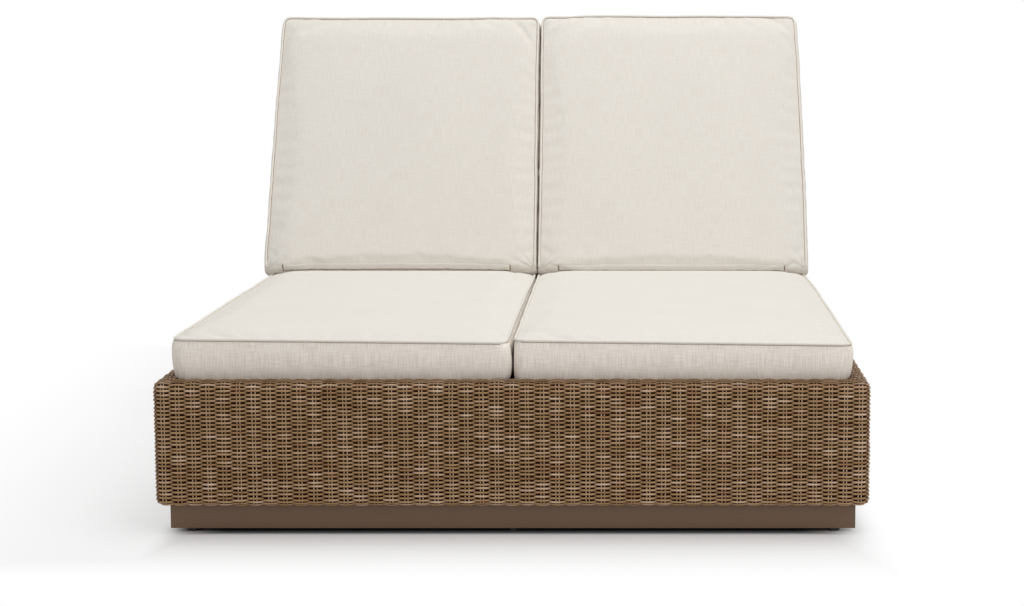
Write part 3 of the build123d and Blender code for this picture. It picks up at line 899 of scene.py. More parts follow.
@dataclass
class WovenBack:
    """The woven panel of a back, with its stiles and head rail wrapped in strand."""

    side: Side
    finishes: Finishes
    strand: Strand = field(default_factory=lambda: Strand(over=1.3 * MM, under=1.3 * MM, half_depth=1.15 * MM,
                                                          stake_radius=0.8 * MM, half_width=2.1 * MM))
    near: float = 10 * MM
    far: float = 660 * MM
    tube: float = 30 * MM
    start: float = 12.5 * MM
    length: float = 760 * MM
    level: float = 10 * MM
    low: float = -12.5 * MM
    columns: int = 20
    wobble: float = 0.16 * MM
    wobble_knots: int = 11
    stake_points: int = 12
    wrap_pitch: float = 4.3 * MM
    wrap_start: float = 34 * MM
    head_ends: tuple[float, float] = (8 * MM, 6 * MM)
    wrap_size: tuple[float, float] = (1.25 * MM, 2.1 * MM)
    wrap_radius: float = 4.0 * MM
    wrap_out: float = 1.2 * MM
    wrap_up: float = 1.1 * MM

    def build(self) -> None:
        """Weave the panel and wrap the tubes."""
        place = raised(self.side)
        rng = np.random.default_rng(71 if self.side is Side.LEFT else 72)
        self._panel(place, rng)
        self._wraps(place, rng)

    def _panel(self, place: Matrix, rng: np.random.Generator) -> None:
        """Weave the panel between the stiles.

        Args:
            place: The back's place.
            rng: The back's random numbers.
        """
        mesh = StrandMesh(rim=0.38)
        left, right = self.near + self.tube, self.far - self.tube
        pitch = (right - left) / self.columns
        top = self.length - self.tube
        x = np.linspace(left, right, self.columns * self.strand.samples + 1)
        column = (x - left) / pitch - 0.5
        every = np.arange(-1, self.columns + 1)
        knots = np.linspace(left, right, self.wobble_knots)
        size = (self.strand.half_depth, self.strand.half_width)
        for row, u in enumerate(np.arange(self.start + 2 * MM, top, self.strand.pitch)):
            wobble = np.interp(x, knots, rng.normal(0, self.wobble, self.wobble_knots))
            sway = self.strand.sway(column, row)
            line = np.column_stack([x, u + wobble, self.level + self.strand.reach(sway)])
            mesh.add_placed(place, line, (0, 0, 1), (0, 1, 0), size, self.strand.tone(column, every, rng))
        heights = np.linspace(self.start, top, self.stake_points)
        radius = self.strand.stake_radius
        for k in range(self.columns):
            for offset in (-0.5, 0.5):
                line = np.full((self.stake_points, 3), self.level)
                line[:, 0] = left + (k + 0.5) * pitch + offset * self.strand.stake_gap
                line[:, 1] = heights
                mesh.add_placed(place, line, (0, 0, 1), (-1, 0, 0), (radius, radius), 0.4 + 0.4 * rng.random())
        name = self.side.label
        piece = mesh.build(f"back_panel_{name}", self.finishes.wicker)
        fit(piece, f"back_{name}", "resin_wicker", f"back_weave_{name}")

    def _section(self) -> tuple[Array, Array]:
        """Return a wrap's rounded section about a tube.

        Returns:
            Points and outward unit vectors, across and up.
        """
        radius = self.wrap_radius
        ends = np.array([[-self.wrap_out, self.low - self.wrap_out],
                         [self.tube + self.wrap_out, self.level + self.wrap_up]]) + [[radius], [-radius]]
        turn = np.radians([[first + 30 * step for step in range(4)] for first in (-90, 0, 90, 180)])
        normals = np.stack([np.cos(turn), np.sin(turn)], -1)
        middles = np.array([(ends[i, 0], ends[j, 1]) for i, j in ((1, 0), (1, 1), (0, 1), (0, 0))])
        points = middles[:, None, :] + radius * normals
        return points.reshape(-1, 2), normals.reshape(-1, 2)

    def _wraps(self, place: Matrix, rng: np.random.Generator) -> None:
        """Wrap the stiles and the head rail, turn beside turn.

        Args:
            place: The back's place.
            rng: The back's random numbers.
        """
        mesh = StrandMesh(sides=4, rim=0.32)
        points, normals = self._section()
        top = self.length - self.tube
        turns = np.arange(self.wrap_start, top, self.wrap_pitch)
        head = np.arange(self.near + self.head_ends[0], self.far - self.head_ends[1], self.wrap_pitch)
        for across, base, spots in ((0, self.near, turns), (0, self.far - self.tube, turns), (1, top, head)):
            up = (-1, 0, 0) if across else (0, 1, 0)
            for spot in spots:
                line, out = np.full((len(points), 3), spot), np.zeros((len(points), 3))
                line[:, across], line[:, 2] = base + points[:, 0], points[:, 1]
                out[:, across], out[:, 2] = normals[:, 0], normals[:, 1]
                mesh.add_placed(place, line, out, up, self.wrap_size, rng.random(), True)
        name = self.side.label
        fit(mesh.build(f"back_wraps_{name}", self.finishes.wicker), f"back_{name}", "resin_wicker")


@dataclass
class Cushion:
    """A boxed cushion with welts: crowned faces above and below, and a boxing strip between their seams.

    It is made flat, with its underside at zero, its inner side at low X and its foot end at low Y. The seam of the
    upper face lies at `boxing` and that of the lower face at `under`. A back's foot end rolls under, without a welt.

    `boxing_rise` lifts the foot end's seam and `tilt` slants it. `bulge` swells the boxing on the outer side and at
    the ends, and `meet` is the plane that the inner boxing swells to. `taper` narrows the head end from the outer
    side and `close` widens it at the inner side. `draw` and `draw_end` pull in the seams between the corners.
    """

    side: Side
    kind: PadKind
    finishes: Finishes
    near: float
    far: float
    start: float
    length: float
    boxing: float
    crown: float
    lift: float
    tuck_in: float
    bulge: tuple[float, float]
    boxing_rise: float = 0.0
    meet: float = 1.2 * MM
    taper: float = 0.0
    taper_power: float = 1.0
    close: float = 0.0
    draw: float = 2.0 * MM
    draw_inner: float = 1.0 * MM
    draw_end: float = 1.5 * MM
    gathers: int = 0
    roll: float = 0.0
    corner: float = 12 * MM
    under: float = 20 * MM
    crown_reach: float = 80 * MM
    tilt: float = 2.5 * MM
    wander: float = 0.6 * MM
    cell: float = 13 * MM
    corner_cell: float = 4.8 * MM
    gather_cell: float = 6.5 * MM
    levels: int = 8
    dome_power: float = 2.2
    dome_middle: float = 2 * MM
    swell_power: float = 0.32
    tuck_foot: float = 1.5 * MM
    tuck_ends: float = 3 * MM
    crease: float = 0.7
    welt: float = 2.7 * MM
    welt_leans: tuple[float, float] = (0.5, -0.3)
    strip_ends: tuple[float, float] = (50 * MM, 43.5 * MM)
    strip_shift: float = 7 * MM
    strip_rows: int = 6
    strip_lift: float = 0.5 * MM
    strip_thickness: float = 1.3 * MM
    stitch_lift: float = 1.6 * MM
    stitch_size: tuple[float, float] = (0.8 * MM, 1.0 * MM)
    folds: tuple[tuple[float, float], ...] = ((4.8 * MM, 6.5), (3.8 * MM, 5.0))
    fold_reach: float = 42 * MM
    fold_start: float = 9 * MM
    travel: tuple[float, float, float] = (5 * MM, 1.3 * MM, 1.0 * MM)
    piece: Object = field(init=False)
    border: Array = field(init=False)
    reach: Array = field(init=False)
    size: tuple[int, int] = field(init=False)

    @classmethod
    def seat(cls, side: Side, finishes: Finishes) -> "Cushion":
        """Return a seat cushion. The photograph's two differ a little."""
        s = side.value
        return cls(side, PadKind.SEAT, finishes, near=(9.75 - 4.25 * s) * MM, far=(674.75 + 0.25 * s) * MM,
                   start=-994.5 * MM, length=1199 * MM, boxing=90 * MM, crown=13 * MM, lift=DECK_TOP + TOUCH_GAP,
                   tuck_in=(6.0 + 0.5 * s) * MM, bulge=((8.75 - 0.75 * s) * MM, 2.5 * MM),
                   boxing_rise=(3.05 - 1.55 * s) * MM, meet=(2.25 + 0.75 * s) * MM, taper=(12.75 - 1.25 * s) * MM,
                   taper_power=4.15 + 1.85 * s, close=(3.5 - 3 * s) * MM, corner=24 * MM, under=14 * MM,
                   tilt=(3.85 + 0.35 * s) * MM)

    @classmethod
    def back(cls, side: Side, finishes: Finishes) -> "Cushion":
        """Return a back cushion. The photograph's two differ a little."""
        s = side.value
        return cls(side, PadKind.BACK, finishes, near=6.5 * MM, far=(671.5 - 2.0 * s) * MM, start=83 * MM,
                   length=(684.5 + s) * MM, boxing=94 * MM, crown=12 * MM, lift=FOOT_RAIL_RADIUS + TOUCH_GAP,
                   tuck_in=12 * MM, bulge=(11.0 * MM, 3.5 * MM), taper=15 * MM, draw=-3 * MM,
                   draw_end=(-0.5 - 2.0 * s) * MM, gathers=7, roll=16 * MM, corner=15 * MM, tilt=0.0)

    @property
    def is_seat(self) -> bool:
        """Whether it is a seat cushion."""
        return self.kind is PadKind.SEAT

    @property
    def label(self) -> str:
        """The cushion's name."""
        return f"{self.kind.value}_cushion_{self.side.label}"

    @property
    def place(self) -> Matrix:
        """Its place, from its own flat frame."""
        lift = Matrix.Translation((0, 0, self.lift))
        return (Matrix.Diagonal((self.side.value, 1, 1, 1)) if self.is_seat else raised(self.side)) @ lift

    @property
    def width(self) -> float:
        """Its width at the foot end."""
        return self.far - self.near

    @property
    def count(self) -> int:
        """How many points each of its two faces has."""
        return self.size[0] * self.size[1]

    def _fit(self, piece: Object, *nodes: str) -> None:
        """Let a sewn piece ride with the cushion."""
        fit(piece, "base" if self.is_seat else f"back_pad_{self.side.label}", "cushion_fabric", *nodes)

    def _shares(self, plan: Array) -> tuple[Array, Array]:
        """Return where plan points lie across and along the cushion, from -1 to 1."""
        across = (plan[:, 0] - (self.near + self.far) / 2) / (self.width / 2)
        return across, (plan[:, 1] - (self.start + self.length / 2)) / (self.length / 2)

    def _lines(self, length: float, rolled: bool) -> Array:
        """Return the grid lines along one direction, closer at the edges.

        Args:
            length: The length to divide.
            rolled: Whether the near end rolls under.

        Returns:
            Distances from 0 to the length.
        """
        fine = np.arange(1, self.gathers + 1) * self.gather_cell
        turned = np.linspace(0.0, self.corner, round(self.corner / self.corner_cell) + 1)
        first = edge = np.append(turned, self.corner + fine)
        if rolled:
            first = np.concatenate([self.roll * (1 - np.cos(np.linspace(0, QUARTER, 8))), self.roll + fine])
        inner = length - first[-1] - edge[-1]
        steps = max(2, round(inner / self.cell))
        middle = first[-1] + inner * np.arange(1, steps) / steps
        return np.concatenate([first, middle, length - edge[::-1]])

    def _grid(self) -> tuple[Array, Array, Array, tuple[int, int]]:
        """Return the plan grid with rounded corners.

        Returns:
            Plan points, their distance from the sewn edges and from the foot end, and the grid's size.
        """
        width, length, c = self.width, self.length, self.corner
        rolled = self.roll > 0
        xs, ys = self._lines(width, False), self._lines(length, rolled)
        x, y = np.meshgrid(xs, ys, indexing="ij")
        along = y.copy()
        edge = np.minimum(np.minimum(x, width - x), np.minimum(length if rolled else y, length - y))
        a = np.maximum(c - np.minimum(x, width - x), 0.0)
        b = np.maximum(c - np.minimum(y, length - y), 0.0)
        if rolled:
            b = np.where(y < length / 2, 0.0, b)
        longest, radius = np.maximum(a, b), np.hypot(a, b)
        share = np.where(radius > 0, longest / np.maximum(radius, TINY), 1.0)
        x = np.where(a > 0, np.where(x < width / 2, c - a * share, width - c + a * share), x)
        y = np.where(b > 0, np.where(y < length / 2, c - b * share, length - c + b * share), y)
        share = y / length
        x = x * (1 - self.taper * share ** self.taper_power / width) - self.close * share * (1 - x / width)
        plan = np.stack([self.near + x, self.start + y], -1)
        return plan.reshape(-1, 2), edge.reshape(-1), along.reshape(-1), (len(xs), len(ys))

    @staticmethod
    def _border(size: tuple[int, int]) -> Array:
        """Return the indices of a grid's border, in order round it from the foot end's inner corner."""
        index = np.arange(size[0] * size[1]).reshape(size)
        return np.concatenate([index[:-1, 0], index[-1, :-1], index[:0:-1, -1], index[0, :0:-1]])

    @staticmethod
    def _outward(ring: Array) -> Array:
        """Return the outward unit vectors of a closed ring in plan.

        Args:
            ring: Its points, anticlockwise.

        Returns:
            The unit vectors.
        """
        along = np.roll(ring, -1, 0) - np.roll(ring, 1, 0)
        out = np.column_stack([along[:, 1], -along[:, 0]])
        return out / np.linalg.norm(out, axis=1)[:, None]

    def _wander(self, plan: Array) -> Array:
        """Draw the sides in or out between the corners, and let the seams wander a little.

        Args:
            plan: Plan points.

        Returns:
            The drawn plan points.
        """
        rng = np.random.default_rng(5 + 2 * self.side.value + (0 if self.is_seat else 10))
        across, along = self._shares(plan)
        knots = np.linspace(-1, 1, 13)
        wander = rng.normal(0, self.wander, (4, len(knots)))
        wander[:, [0, -1]] = 0
        far, near = (np.interp(along, knots, row) for row in wander[:2])
        head, foot = (np.interp(across, knots, row) for row in wander[2:])
        draw_x = np.where(across > 0, self.draw, self.draw_inner) * (1 - along ** 2) + np.where(across > 0, far, near)
        draw_y = self.draw_end * (1 - across ** 2) + np.where(along > 0, head, foot)
        return plan - np.column_stack([across * np.abs(across) * draw_x, along * np.abs(along) * draw_y])

    def _faces(self, plan: Array, edge: Array, along: Array) -> tuple[Array, Array]:
        """Return the points of the crowned upper face and of the lower one, which is narrower.

        Args:
            plan: Plan points of the upper face.
            edge: Their distance from the sewn edges.
            along: Their distance from the foot end.

        Returns:
            The points of both faces.
        """
        near_edge = np.clip(edge / self.crown_reach, 0, 1)
        dome = 1 - (1 - near_edge) ** self.dome_power
        across = self._shares(plan)[0]
        foot = 1 - np.clip(along / self.length, 0.0, 1.0)
        height = self.boxing + foot * (self.boxing_rise - self.side.value * across * self.tilt)
        sag = self.under * dome
        if self.roll > 0:
            turn = np.clip(1 - along / self.roll, 0.0, 1.0)
            height = height - self.roll * (1 - np.sqrt(1 - turn * turn))
            sag = self.under * np.clip(np.minimum(near_edge, along / self.roll) * 1.2, 0, 1)
        rise = self.crown * dome + self.dome_middle * np.clip(edge / (self.width / 2), 0, 1)
        share = (plan - (self.near, self.start)) / (self.width, self.length)
        low = plan.copy()
        low[:, 0] -= share[:, 0] * self.tuck_in + (1 - share[:, 0]) * self.tuck_foot
        low[:, 1] += (0.5 - share[:, 1]) * self.tuck_ends
        return np.column_stack([plan, height + rise]), np.column_stack([low, self.under - sag])

    def sew(self) -> None:
        """Build the cushion's cells, its flat layout and the distance from its seams."""
        plan, edge, along, self.size = self._grid()
        self.border = border = self._border(self.size)
        count = self.count
        plan = self._wander(plan)
        top, low = self._faces(plan, edge, along)
        out = self._outward(plan[border])
        weight = out * out
        outer = np.where(out[:, 0] < 0, plan[border, 0] - self.meet, self.bulge[0])
        swell = weight[:, 0] * outer + weight[:, 1] * self.bulge[1]
        heights = [0.5 - 0.5 * math.cos(math.pi * k / self.levels) for k in range(1, self.levels)]
        rings = []
        for h in heights:
            spot = low[border] * (1 - h) + top[border] * h
            spot[:, :2] += out * (swell * (4 * h * (1 - h)) ** self.swell_power)[:, None]
            rings.append(spot)
        points = np.concatenate([top, low, *rings])
        faces, layout = self._cells(points)
        mesh = bpy.data.meshes.new(self.label)
        mesh.from_pydata(points.tolist(), [], faces.tolist())
        uv = mesh.uv_layers.new(name="cloth")
        uv.data.foreach_set("uv", layout.reshape(-1).astype(np.float32))
        # The edge distances place the painted crease shade beside the seams; a seat's top face and every inner boxing
        # get almost none.
        stitched = np.where(along < self.roll, 1.0, edge) if self.roll > 0 else np.where(edge > 0, 1.0, 0.0)
        tall = top[border, 2] - low[border, 2]
        seam = [np.where(out[:, 0] < -0.5, 1.0, tall * min(h, 1 - h)) for h in heights]
        # Painted shade: a seat's inner boxing darkens lower down, where it lies in the gap between the two seats.
        gap_shade_share = [np.where(out[:, 0] < -0.95, min(max((0.93 - h) * 3.5, 0.0), 1.0), 0.0) for h in heights]
        # Painted light: boxing and seams, and in part a back's faces, take the lighter boxing colour.
        boxed = np.full(len(points), 0.0 if self.is_seat else 0.35)
        boxed[border] = boxed[border + count] = 0.6
        boxed[2 * count:] = 1.0
        store(mesh, "edge", np.concatenate([stitched, edge, *seam]))
        store(mesh, "boxed", boxed)
        store(mesh, "between", np.concatenate([np.zeros(2 * count), *gap_shade_share]) * self.is_seat)
        # Painted shade: the back cushions take the dimmed linen.
        store(mesh, "muted", np.full(len(points), 0.0 if self.is_seat else 1.0))
        mesh.shade_smooth()
        self.piece = place_object(mesh, self.label, self.finishes.linen)
        group = self.piece.vertex_groups.new(name="held")
        group.add(list(range(count, 2 * count)), 1.0, "REPLACE")
        group.add(border.tolist(), 1.0, "REPLACE")
        face, boxing, inner = self.travel
        self.reach = np.full(len(points), face)
        self.reach[2 * count:] = boxing
        self.reach[points[:, 0] < self.near + 3 * MM] = inner

    def _cells(self, points: Array) -> tuple[Array, Array]:
        """Return the cushion's cells and the flat layout of each cell's corners.

        Args:
            points: Every point.

        Returns:
            The cells, and the layout of their corners in metres.
        """
        count, border = self.count, self.border
        top = quads(np.arange(count).reshape(self.size))
        low = top[:, ::-1] + count
        around = len(border)
        rows = [border + count]
        rows += [2 * count + k * around + np.arange(around) for k in range(self.levels - 1)]
        rows += [border]
        pairs = zip(rows[:-1], rows[1:])
        sides = np.concatenate([np.stack([a, np.roll(a, -1), np.roll(b, -1), b], -1) for a, b in pairs])
        out = np.abs(self._outward(points[border]))
        across = np.tile(out[:, 1] > out[:, 0], self.levels)[:, None]
        spots = points[sides]
        flat = np.stack([np.where(across, spots[:, :, 0], spots[:, :, 1] + 3.0), spots[:, :, 2] + 4.0], -1)
        layout = np.concatenate([points[top][:, :, :2], points[low][:, :, :2] + 2.0, flat])
        return np.concatenate([top, low, sides]), layout

    def fill(self) -> None:
        """Start the cloth under pressure."""
        cloth = self.piece.modifiers.new("fill", "CLOTH")
        settings = {
            "quality": 4, "mass": 0.3, "tension_stiffness": 15, "compression_stiffness": 8, "shear_stiffness": 5,
            "bending_stiffness": 1.5, "use_pressure": True, "uniform_pressure_force": 4.0,
            "vertex_group_mass": "held", "shrink_min": -0.012,
        }
        for name, value in settings.items():
            setattr(cloth.settings, name, value)
        cloth.settings.effector_weights.gravity = 0.0
        cloth.collision_settings.use_collision = False
        cloth.collision_settings.use_self_collision = False

    def settle(self) -> None:
        """Take the filled shape, cap how far each point moved, and drop the cloth."""
        shown = self.piece.evaluated_get(bpy.context.evaluated_depsgraph_get())
        base, filled = vectors(self.piece.data), vectors(shown.to_mesh())
        shown.to_mesh_clear()
        shift = filled - base
        size = np.linalg.norm(shift, axis=1)
        shift *= np.minimum(1.0, self.reach / np.maximum(size, TINY))[:, None]
        self.piece.modifiers.clear()
        self.piece.data.vertices.foreach_set("co", (base + shift).ravel())

    def finish(self) -> None:
        """Smooth the cushion, add its welts and strip, and put it in its place."""
        mesh = self.piece.data
        self._crease(mesh)
        points = vectors(mesh)
        loops = (self.border, self.border + self.count)
        seams = [self._seam(points, loop, lean) for loop, lean in zip(loops, self.welt_leans)]
        if self.roll > 0:
            self._strip(mesh, points)
        smooth = self.piece.modifiers.new("smooth", "SUBSURF")
        smooth.levels = smooth.render_levels = 1
        take_modified(self.piece)
        if self.roll > 0:
            self._fold(self.piece.data)
        self._set_down(self.piece)
        self._fit(self.piece, self.label)
        self._cord(seams)

    def _crease(self, mesh: Mesh) -> None:
        """Keep the seams crisp when the mesh is smoothed.

        Args:
            mesh: The cushion's mesh.
        """
        pairs = set()
        for loop in (self.border, self.border + self.count):
            pairs |= {frozenset(pair) for pair in zip(loop.tolist(), np.roll(loop, -1).tolist())}
        crease = mesh.attributes.new("crease_edge", "FLOAT", "EDGE")
        sharp = [self.crease if frozenset(edge.vertices) in pairs else 0.0 for edge in mesh.edges]
        crease.data.foreach_set("value", sharp)

    def _seam(self, points: Array, loop: Array, lean: float) -> tuple[Array, Array, bool]:
        """Return the line of a welt beside its seam.

        Args:
            points: Every point of the cushion.
            loop: Indices of the seam's points.
            lean: How far the welt lies above its seam, as a share of its radius.

        Returns:
            Points, outward unit vectors, and whether the welt closes on itself.
        """
        line = points[loop]
        line = np.stack([line, (line + np.roll(line, -1, 0)) / 2], 1).reshape(-1, 3)
        line = (np.roll(line, 1, 0) + 2 * line + np.roll(line, -1, 0)) / 4
        out = np.column_stack([self._outward(line[:, :2]), np.zeros(len(line))])
        line = line + out * self.welt * 0.5
        line[:, 2] += self.welt * lean
        if self.roll == 0 or lean < 0:
            return line, out, True
        shown = line[:, 1] > self.start + 6 * MM
        first = int(np.nonzero(shown & ~np.roll(shown, 1))[0][0])
        order = (first + np.arange(shown.sum())) % len(line)
        line, out = line[order], out[order]
        line[[0, -1]] -= out[[0, -1]] * 2 * self.welt
        return line, out, False

    def _cord(self, seams: Sequence[tuple[Array, Array, bool]]) -> None:
        """Make the cushion's welts as one piece.

        Args:
            seams: The welts' lines.
        """
        welts = StrandMesh(sides=8)
        for line, out, ring in seams:
            welts.add_placed(self.place, line, out, (0, 0, 1), (self.welt, self.welt), ring=ring)
        cord = welts.build(f"welt_{self.kind.value}_{self.side.label}", self.finishes.linen)
        self._lay_out(cord.data)
        self._fit(cord)

    @staticmethod
    def _lay_out(mesh: Mesh) -> None:
        """Give a small sewn piece a plain layout for its threads.

        Args:
            mesh: The piece's mesh.
        """
        if "edge" not in mesh.attributes:
            store(mesh, "edge", np.ones(len(mesh.vertices)))
        corner = np.zeros(len(mesh.loops), np.int32)
        mesh.loops.foreach_get("vertex_index", corner)
        spots = vectors(mesh)[corner]
        layout = mesh.uv_layers.new(name="cloth")
        layout.data.foreach_set("uv", np.column_stack([spots.sum(1), spots[:, 2] * 0.5]).ravel())

    def _strip(self, mesh: Mesh, points: Array) -> None:
        """Sew the joining strip and its end stitches along the rolled foot end.

        Args:
            mesh: The cushion's mesh.
            points: Every point of the cushion.
        """
        index = np.arange(self.count).reshape(self.size)
        normals = vectors(mesh, "normal")
        xs = points[index[:, 7], 0]
        shift = self.strip_shift * self.side.value
        inner, outer = self.strip_ends[0] - shift, self.strip_ends[1] + shift
        columns = np.nonzero((xs > self.near + inner) & (xs < self.far - outer))[0]
        rows = np.arange(self.strip_rows)
        block = index[np.ix_(columns, rows)]
        shell = points[block] + normals[block] * self.strip_lift
        flat = bpy.data.meshes.new("strip")
        flat.from_pydata(shell.reshape(-1, 3).tolist(), [], quads(np.arange(block.size).reshape(block.shape)).tolist())
        # Painted shade: the strip's lowest row falls in the crease shade band, a dark line where it meets the seat;
        # its top row gets none.
        edge = 1.2 * MM + rows * self.roll * math.pi / 28
        edge[-1] = 3.1 * MM
        store(flat, "edge", np.tile(edge, len(columns)))
        strip = place_object(flat, f"hinge_strip_{self.side.label}", self.finishes.linen)
        thick = strip.modifiers.new("thick", "SOLIDIFY")
        thick.thickness, thick.offset = self.strip_thickness, 1.0
        take_modified(strip)
        self._set_down(strip)
        self._lay_out(strip.data)
        self._fit(strip)
        bars = StrandMesh(sides=6)
        turn = np.array(self.place)[:3, :3].T
        for column in (block[0], block[-1]):
            out = normals[column]
            line = move(points[column] + out * self.stitch_lift, self.place)
            bars.add(line, out @ turn, (self.side.value, 0, 0), self.stitch_size)
        self._fit(bars.build(f"strip_stitches_{self.side.label}", self.finishes.thread))

    def _fold(self, mesh: Mesh) -> None:
        """Press soft folds into the foot end's corners.

        Args:
            mesh: The cushion's mesh, in its own flat frame.
        """
        points = vectors(mesh)
        rng = np.random.default_rng(31 + self.side.value)
        for x, (depth, count) in zip((self.near, self.far), self.folds):
            dx, dy = np.abs(points[:, 0] - x), points[:, 1] - self.start - 2 * MM
            radius, turn = np.hypot(dx, dy), np.arctan2(dy, dx)
            wave = 1 - np.abs(np.sin(count * turn + rng.uniform(0, 1) + radius * 12))
            fade = np.exp(-(radius / self.fold_reach) ** 2) * np.clip(radius / self.fold_start, 0, 1)
            points[:, 2] -= depth * wave * fade * np.clip(points[:, 2] / self.boxing - 0.35, 0, 1) * 1.6
        mesh.vertices.foreach_set("co", points.ravel())
        mesh.update()

    def _set_down(self, piece: Object) -> None:
        """Move a piece from the flat frame to its place, and turn mirrored faces the right way out.

        Args:
            piece: The piece.
        """
        piece.data.transform(self.place)
        if self.side is Side.LEFT:
            piece.data.flip_normals()
        piece.data.shade_smooth()


@dataclass
class Upholstery:
    """The four cushions, filled together."""

    finishes: Finishes
    frames: int = 20

    def build(self) -> None:
        """Sew, fill and place the cushions."""
        cushions = [maker(side, self.finishes) for maker in (Cushion.seat, Cushion.back) for side in Side]
        for cushion in cushions:
            cushion.sew()
        for cushion in cushions:
            cushion.fill()
        for number in range(1, self.frames + 1):
            bpy.context.scene.frame_set(number)
        for cushion in cushions:
            cushion.settle()
        bpy.context.scene.frame_set(1)
        for cushion in cushions:
            cushion.finish()


@dataclass
class Fasteners:
    """Hexagon bolts with washers, on the racks and the hinge brackets."""

    finishes: Finishes
    head_radius: float = 5.6 * MM
    head: float = 3.6 * MM
    washer_radius: float = 6.4 * MM
    washer: float = 1.0 * MM
    rack_faces: tuple[float, float] = (35 * MM, 635 * MM)
    rack_ends: float = 8 * MM
    rack_height: float = 7 * MM
    bracket_xs: tuple[float, float, float] = (16.5 * MM, 678 * MM, 692.5 * MM)
    bracket_face: float = 195 * MM
    bracket_height: float = 263 * MM

    def build(self) -> None:
        """Make every bolt as one piece."""
        low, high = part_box("racks_right")
        y0, y1 = low.y + self.rack_ends, high.y - self.rack_ends
        mesh = bmesh.new()
        for side in Side:
            for x, outward in zip(self.rack_faces, (1, -1)):
                for y in (y0, (y0 + y1) / 2, y1):
                    turn = Matrix.Rotation(math.radians(90 * outward * side.value), 4, "Y")
                    self._bolt(mesh, (side.value * x, y, low.z + self.rack_height), turn)
            for x in self.bracket_xs:
                turn = Matrix.Rotation(math.radians(-90), 4, "X")
                self._bolt(mesh, (side.value * x, self.bracket_face, self.bracket_height), turn)
        made = bpy.data.meshes.new("frame_bolts")
        mesh.to_mesh(made)
        mesh.free()
        fit(place_object(made, "frame_bolts", self.finishes.by_slot["bright_steel"]), "base", "bright_steel")

    def _bolt(self, mesh: bmesh.types.BMesh, spot: Sequence[float], turn: Matrix) -> None:
        """Add one washer and chamfered hexagon head.

        Args:
            mesh: The mesh that takes them.
            spot: Where it meets the plate.
            turn: What turns +Z away from the plate.
        """
        head, chamfer = self.head * 0.8, self.head * 0.2
        for sides, wide, narrow, base, height in (
                (24, self.washer_radius, self.washer_radius * 0.94, 0.0, self.washer),
                (6, self.head_radius, self.head_radius, self.washer, head),
                (6, self.head_radius, self.head_radius * 0.84, self.washer + head, chamfer)):
            place = Matrix.Translation(spot) @ turn @ Matrix.Translation((0, 0, base + height / 2))
            bmesh.ops.create_cone(mesh, cap_ends=True, segments=sides, radius1=wide, radius2=narrow, depth=height,
                                  matrix=place)


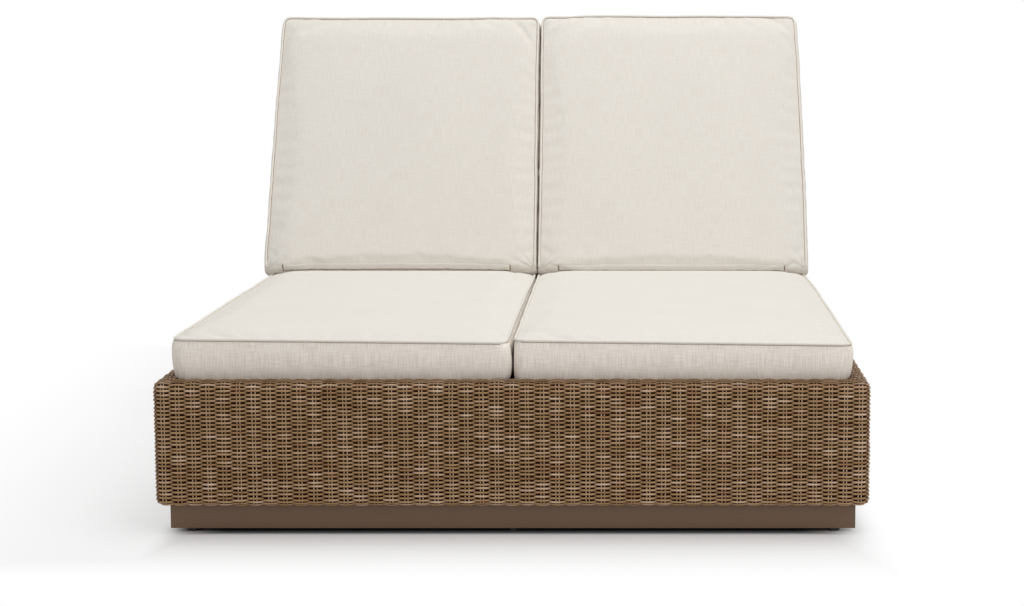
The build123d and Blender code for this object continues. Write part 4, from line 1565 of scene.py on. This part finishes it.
@dataclass
class Studio:
    """A plain pale floor that fades to white beyond the lounger's shadow, a pale surround and soft light."""

    floor_colour: Rgb = (240, 240, 240)
    floor_reach: float = 60.0
    left_lift: float = 0.55
    shade_left: float = 0.75
    contact: float = 0.03
    contact_shade: float = 0.85
    shade_front: float = 0.38
    shade_rear: float = 0.6
    surround: float = 0.5
    key_power: float = 93.0
    fill_power: float = 36.0

    def build(self) -> None:
        """Lay the floor, set the world and hang the lights."""
        self._floor()
        self._world()
        self._light("key", (0.35, -0.6, 4.4), (0.0, 0.1, 0.3), 3.4, self.key_power)
        self._light("fill", (2.5, -3.9, 2.5), (0.1, -0.4, 0.3), 2.4, self.fill_power)

    def _floor(self) -> None:
        """Lay a wide floor that keeps the lounger's shadow, adds a painted contact shadow and shows white beyond."""
        mesh = bpy.data.meshes.new("floor")
        far = self.floor_reach
        mesh.from_pydata([(-far, -far, 0), (far, -far, 0), (far, far, 0), (-far, far, 0)], [], [(0, 1, 2, 3)])
        material, g = new_material("floor_paint")
        spot = g.node("ShaderNodeSeparateXYZ", None, {0: g.place()})
        x, y = Value(g, spot.outputs[0]), Value(g, spot.outputs[1])
        # Painted shadow: the floor darkens under the plinth, fading in near its sides, and in a band just beyond its
        # foot and head ends.
        beside = ((abs(x) - (PLINTH_X - 4 * self.contact)) * 0.25).highest(abs(y) - PLINTH_Y)
        painted_contact_shadow = 1.0 - (1.0 - beside.step(0.0, self.contact)) * self.contact_shade
        speck = g.noise(g.place(), 60.0)
        paint = g.node("ShaderNodeBsdfPrincipled", None, {
            "Base Color": g.lighter(linear(self.floor_colour)[:3], (speck * 0.02 + 0.99) * painted_contact_shadow),
            "Roughness": 0.85, "Specular IOR Level": 0.1})
        past_left, past_right = (x + HALF_W) * -1.0, x - HALF_W
        ahead = ((y + HALF_L) * -1.0).step(0.02, self.shade_front)
        left = past_left.step(0.0, self.shade_left) * (1.0 - self.left_lift)
        left = left + past_left.step(-0.06, 0.0) * self.left_lift
        behind = (y - HALF_L).step(0.0, self.shade_rear)
        white = ahead.highest(left).highest(past_right.step(-0.08, 0.04)).highest(behind)
        glow = g.node("ShaderNodeEmission", None, {"Color": WHITE, "Strength": 1.0})
        both = g.node("ShaderNodeMixShader", None, {0: g.seen() * white, 1: paint.outputs[0], 2: glow.outputs[0]})
        g.node("ShaderNodeOutputMaterial", None, {0: both.outputs[0]})
        place_object(mesh, "floor", material)

    def _world(self) -> None:
        """Set a surround that looks white and lights softly."""
        world = bpy.data.worlds.new("surround")
        bpy.context.scene.world = world
        g = Graph(world)
        soft, white = (g.node("ShaderNodeBackground", None, {"Color": WHITE, "Strength": strength}).outputs[0]
                       for strength in (self.surround, 1.0))
        mixed = g.node("ShaderNodeMixShader", None, {0: g.seen(), 1: soft, 2: white})
        g.node("ShaderNodeOutputWorld", None, {0: mixed.outputs[0]})

    def _light(self, name: str, place: Sequence[float], aim: Sequence[float], size: float, power: float) -> None:
        """Hang one soft light.

        Args:
            name: Its name.
            place: Where it hangs.
            aim: What it points at.
            size: The side of its square.
            power: Its power in watts.
        """
        lamp = bpy.data.lights.new(name, "AREA")
        lamp.size, lamp.energy = size, power
        hung = bpy.data.objects.new(name, lamp)
        hung.location = place
        hung.rotation_euler = (Vector(aim) - Vector(place)).to_track_quat("-Z", "Y").to_euler()
        bpy.context.scene.collection.objects.link(hung)


@dataclass
class PhotoCamera:
    """The photograph's point of view."""

    place: tuple[float, float, float] = (0.244, -5.536, 1.038)
    pitch: float = -7.26
    focal_pixels: float = 2306.0
    image_width: float = 1024.0
    principal_x: float = 635.0
    sensor: float = 36.0

    def build(self) -> None:
        """Make the camera and use it."""
        lens = bpy.data.cameras.new("photo_camera")
        lens.sensor_width = self.sensor
        lens.lens = self.focal_pixels / self.image_width * self.sensor
        lens.shift_x = -(self.principal_x - self.image_width / 2) / self.image_width
        lens.clip_end = 200.0
        held = bpy.data.objects.new("photo_camera", lens)
        held.location = self.place
        held.rotation_euler = Euler((math.radians(90 + self.pitch), 0.0, 0.0))
        bpy.context.scene.collection.objects.link(held)
        bpy.context.scene.camera = held


def main() -> None:
    """Build and dress the lounger, light it and frame it."""
    logging.basicConfig(level=logging.INFO, format="%(message)s")
    bpy.context.scene.view_settings.view_transform = "Standard"
    finishes = Finishes.make()
    LOG.info("frame: %d nodes dressed", finishes.dress_frame(frame["nodes"], frame["record"]))
    WovenBase(finishes).build()
    for side in Side:
        WovenBack(side, finishes).build()
    Upholstery(finishes).build()
    Fasteners(finishes).build()
    Studio().build()
    PhotoCamera().build()


if __name__ == "__main__":
    main()
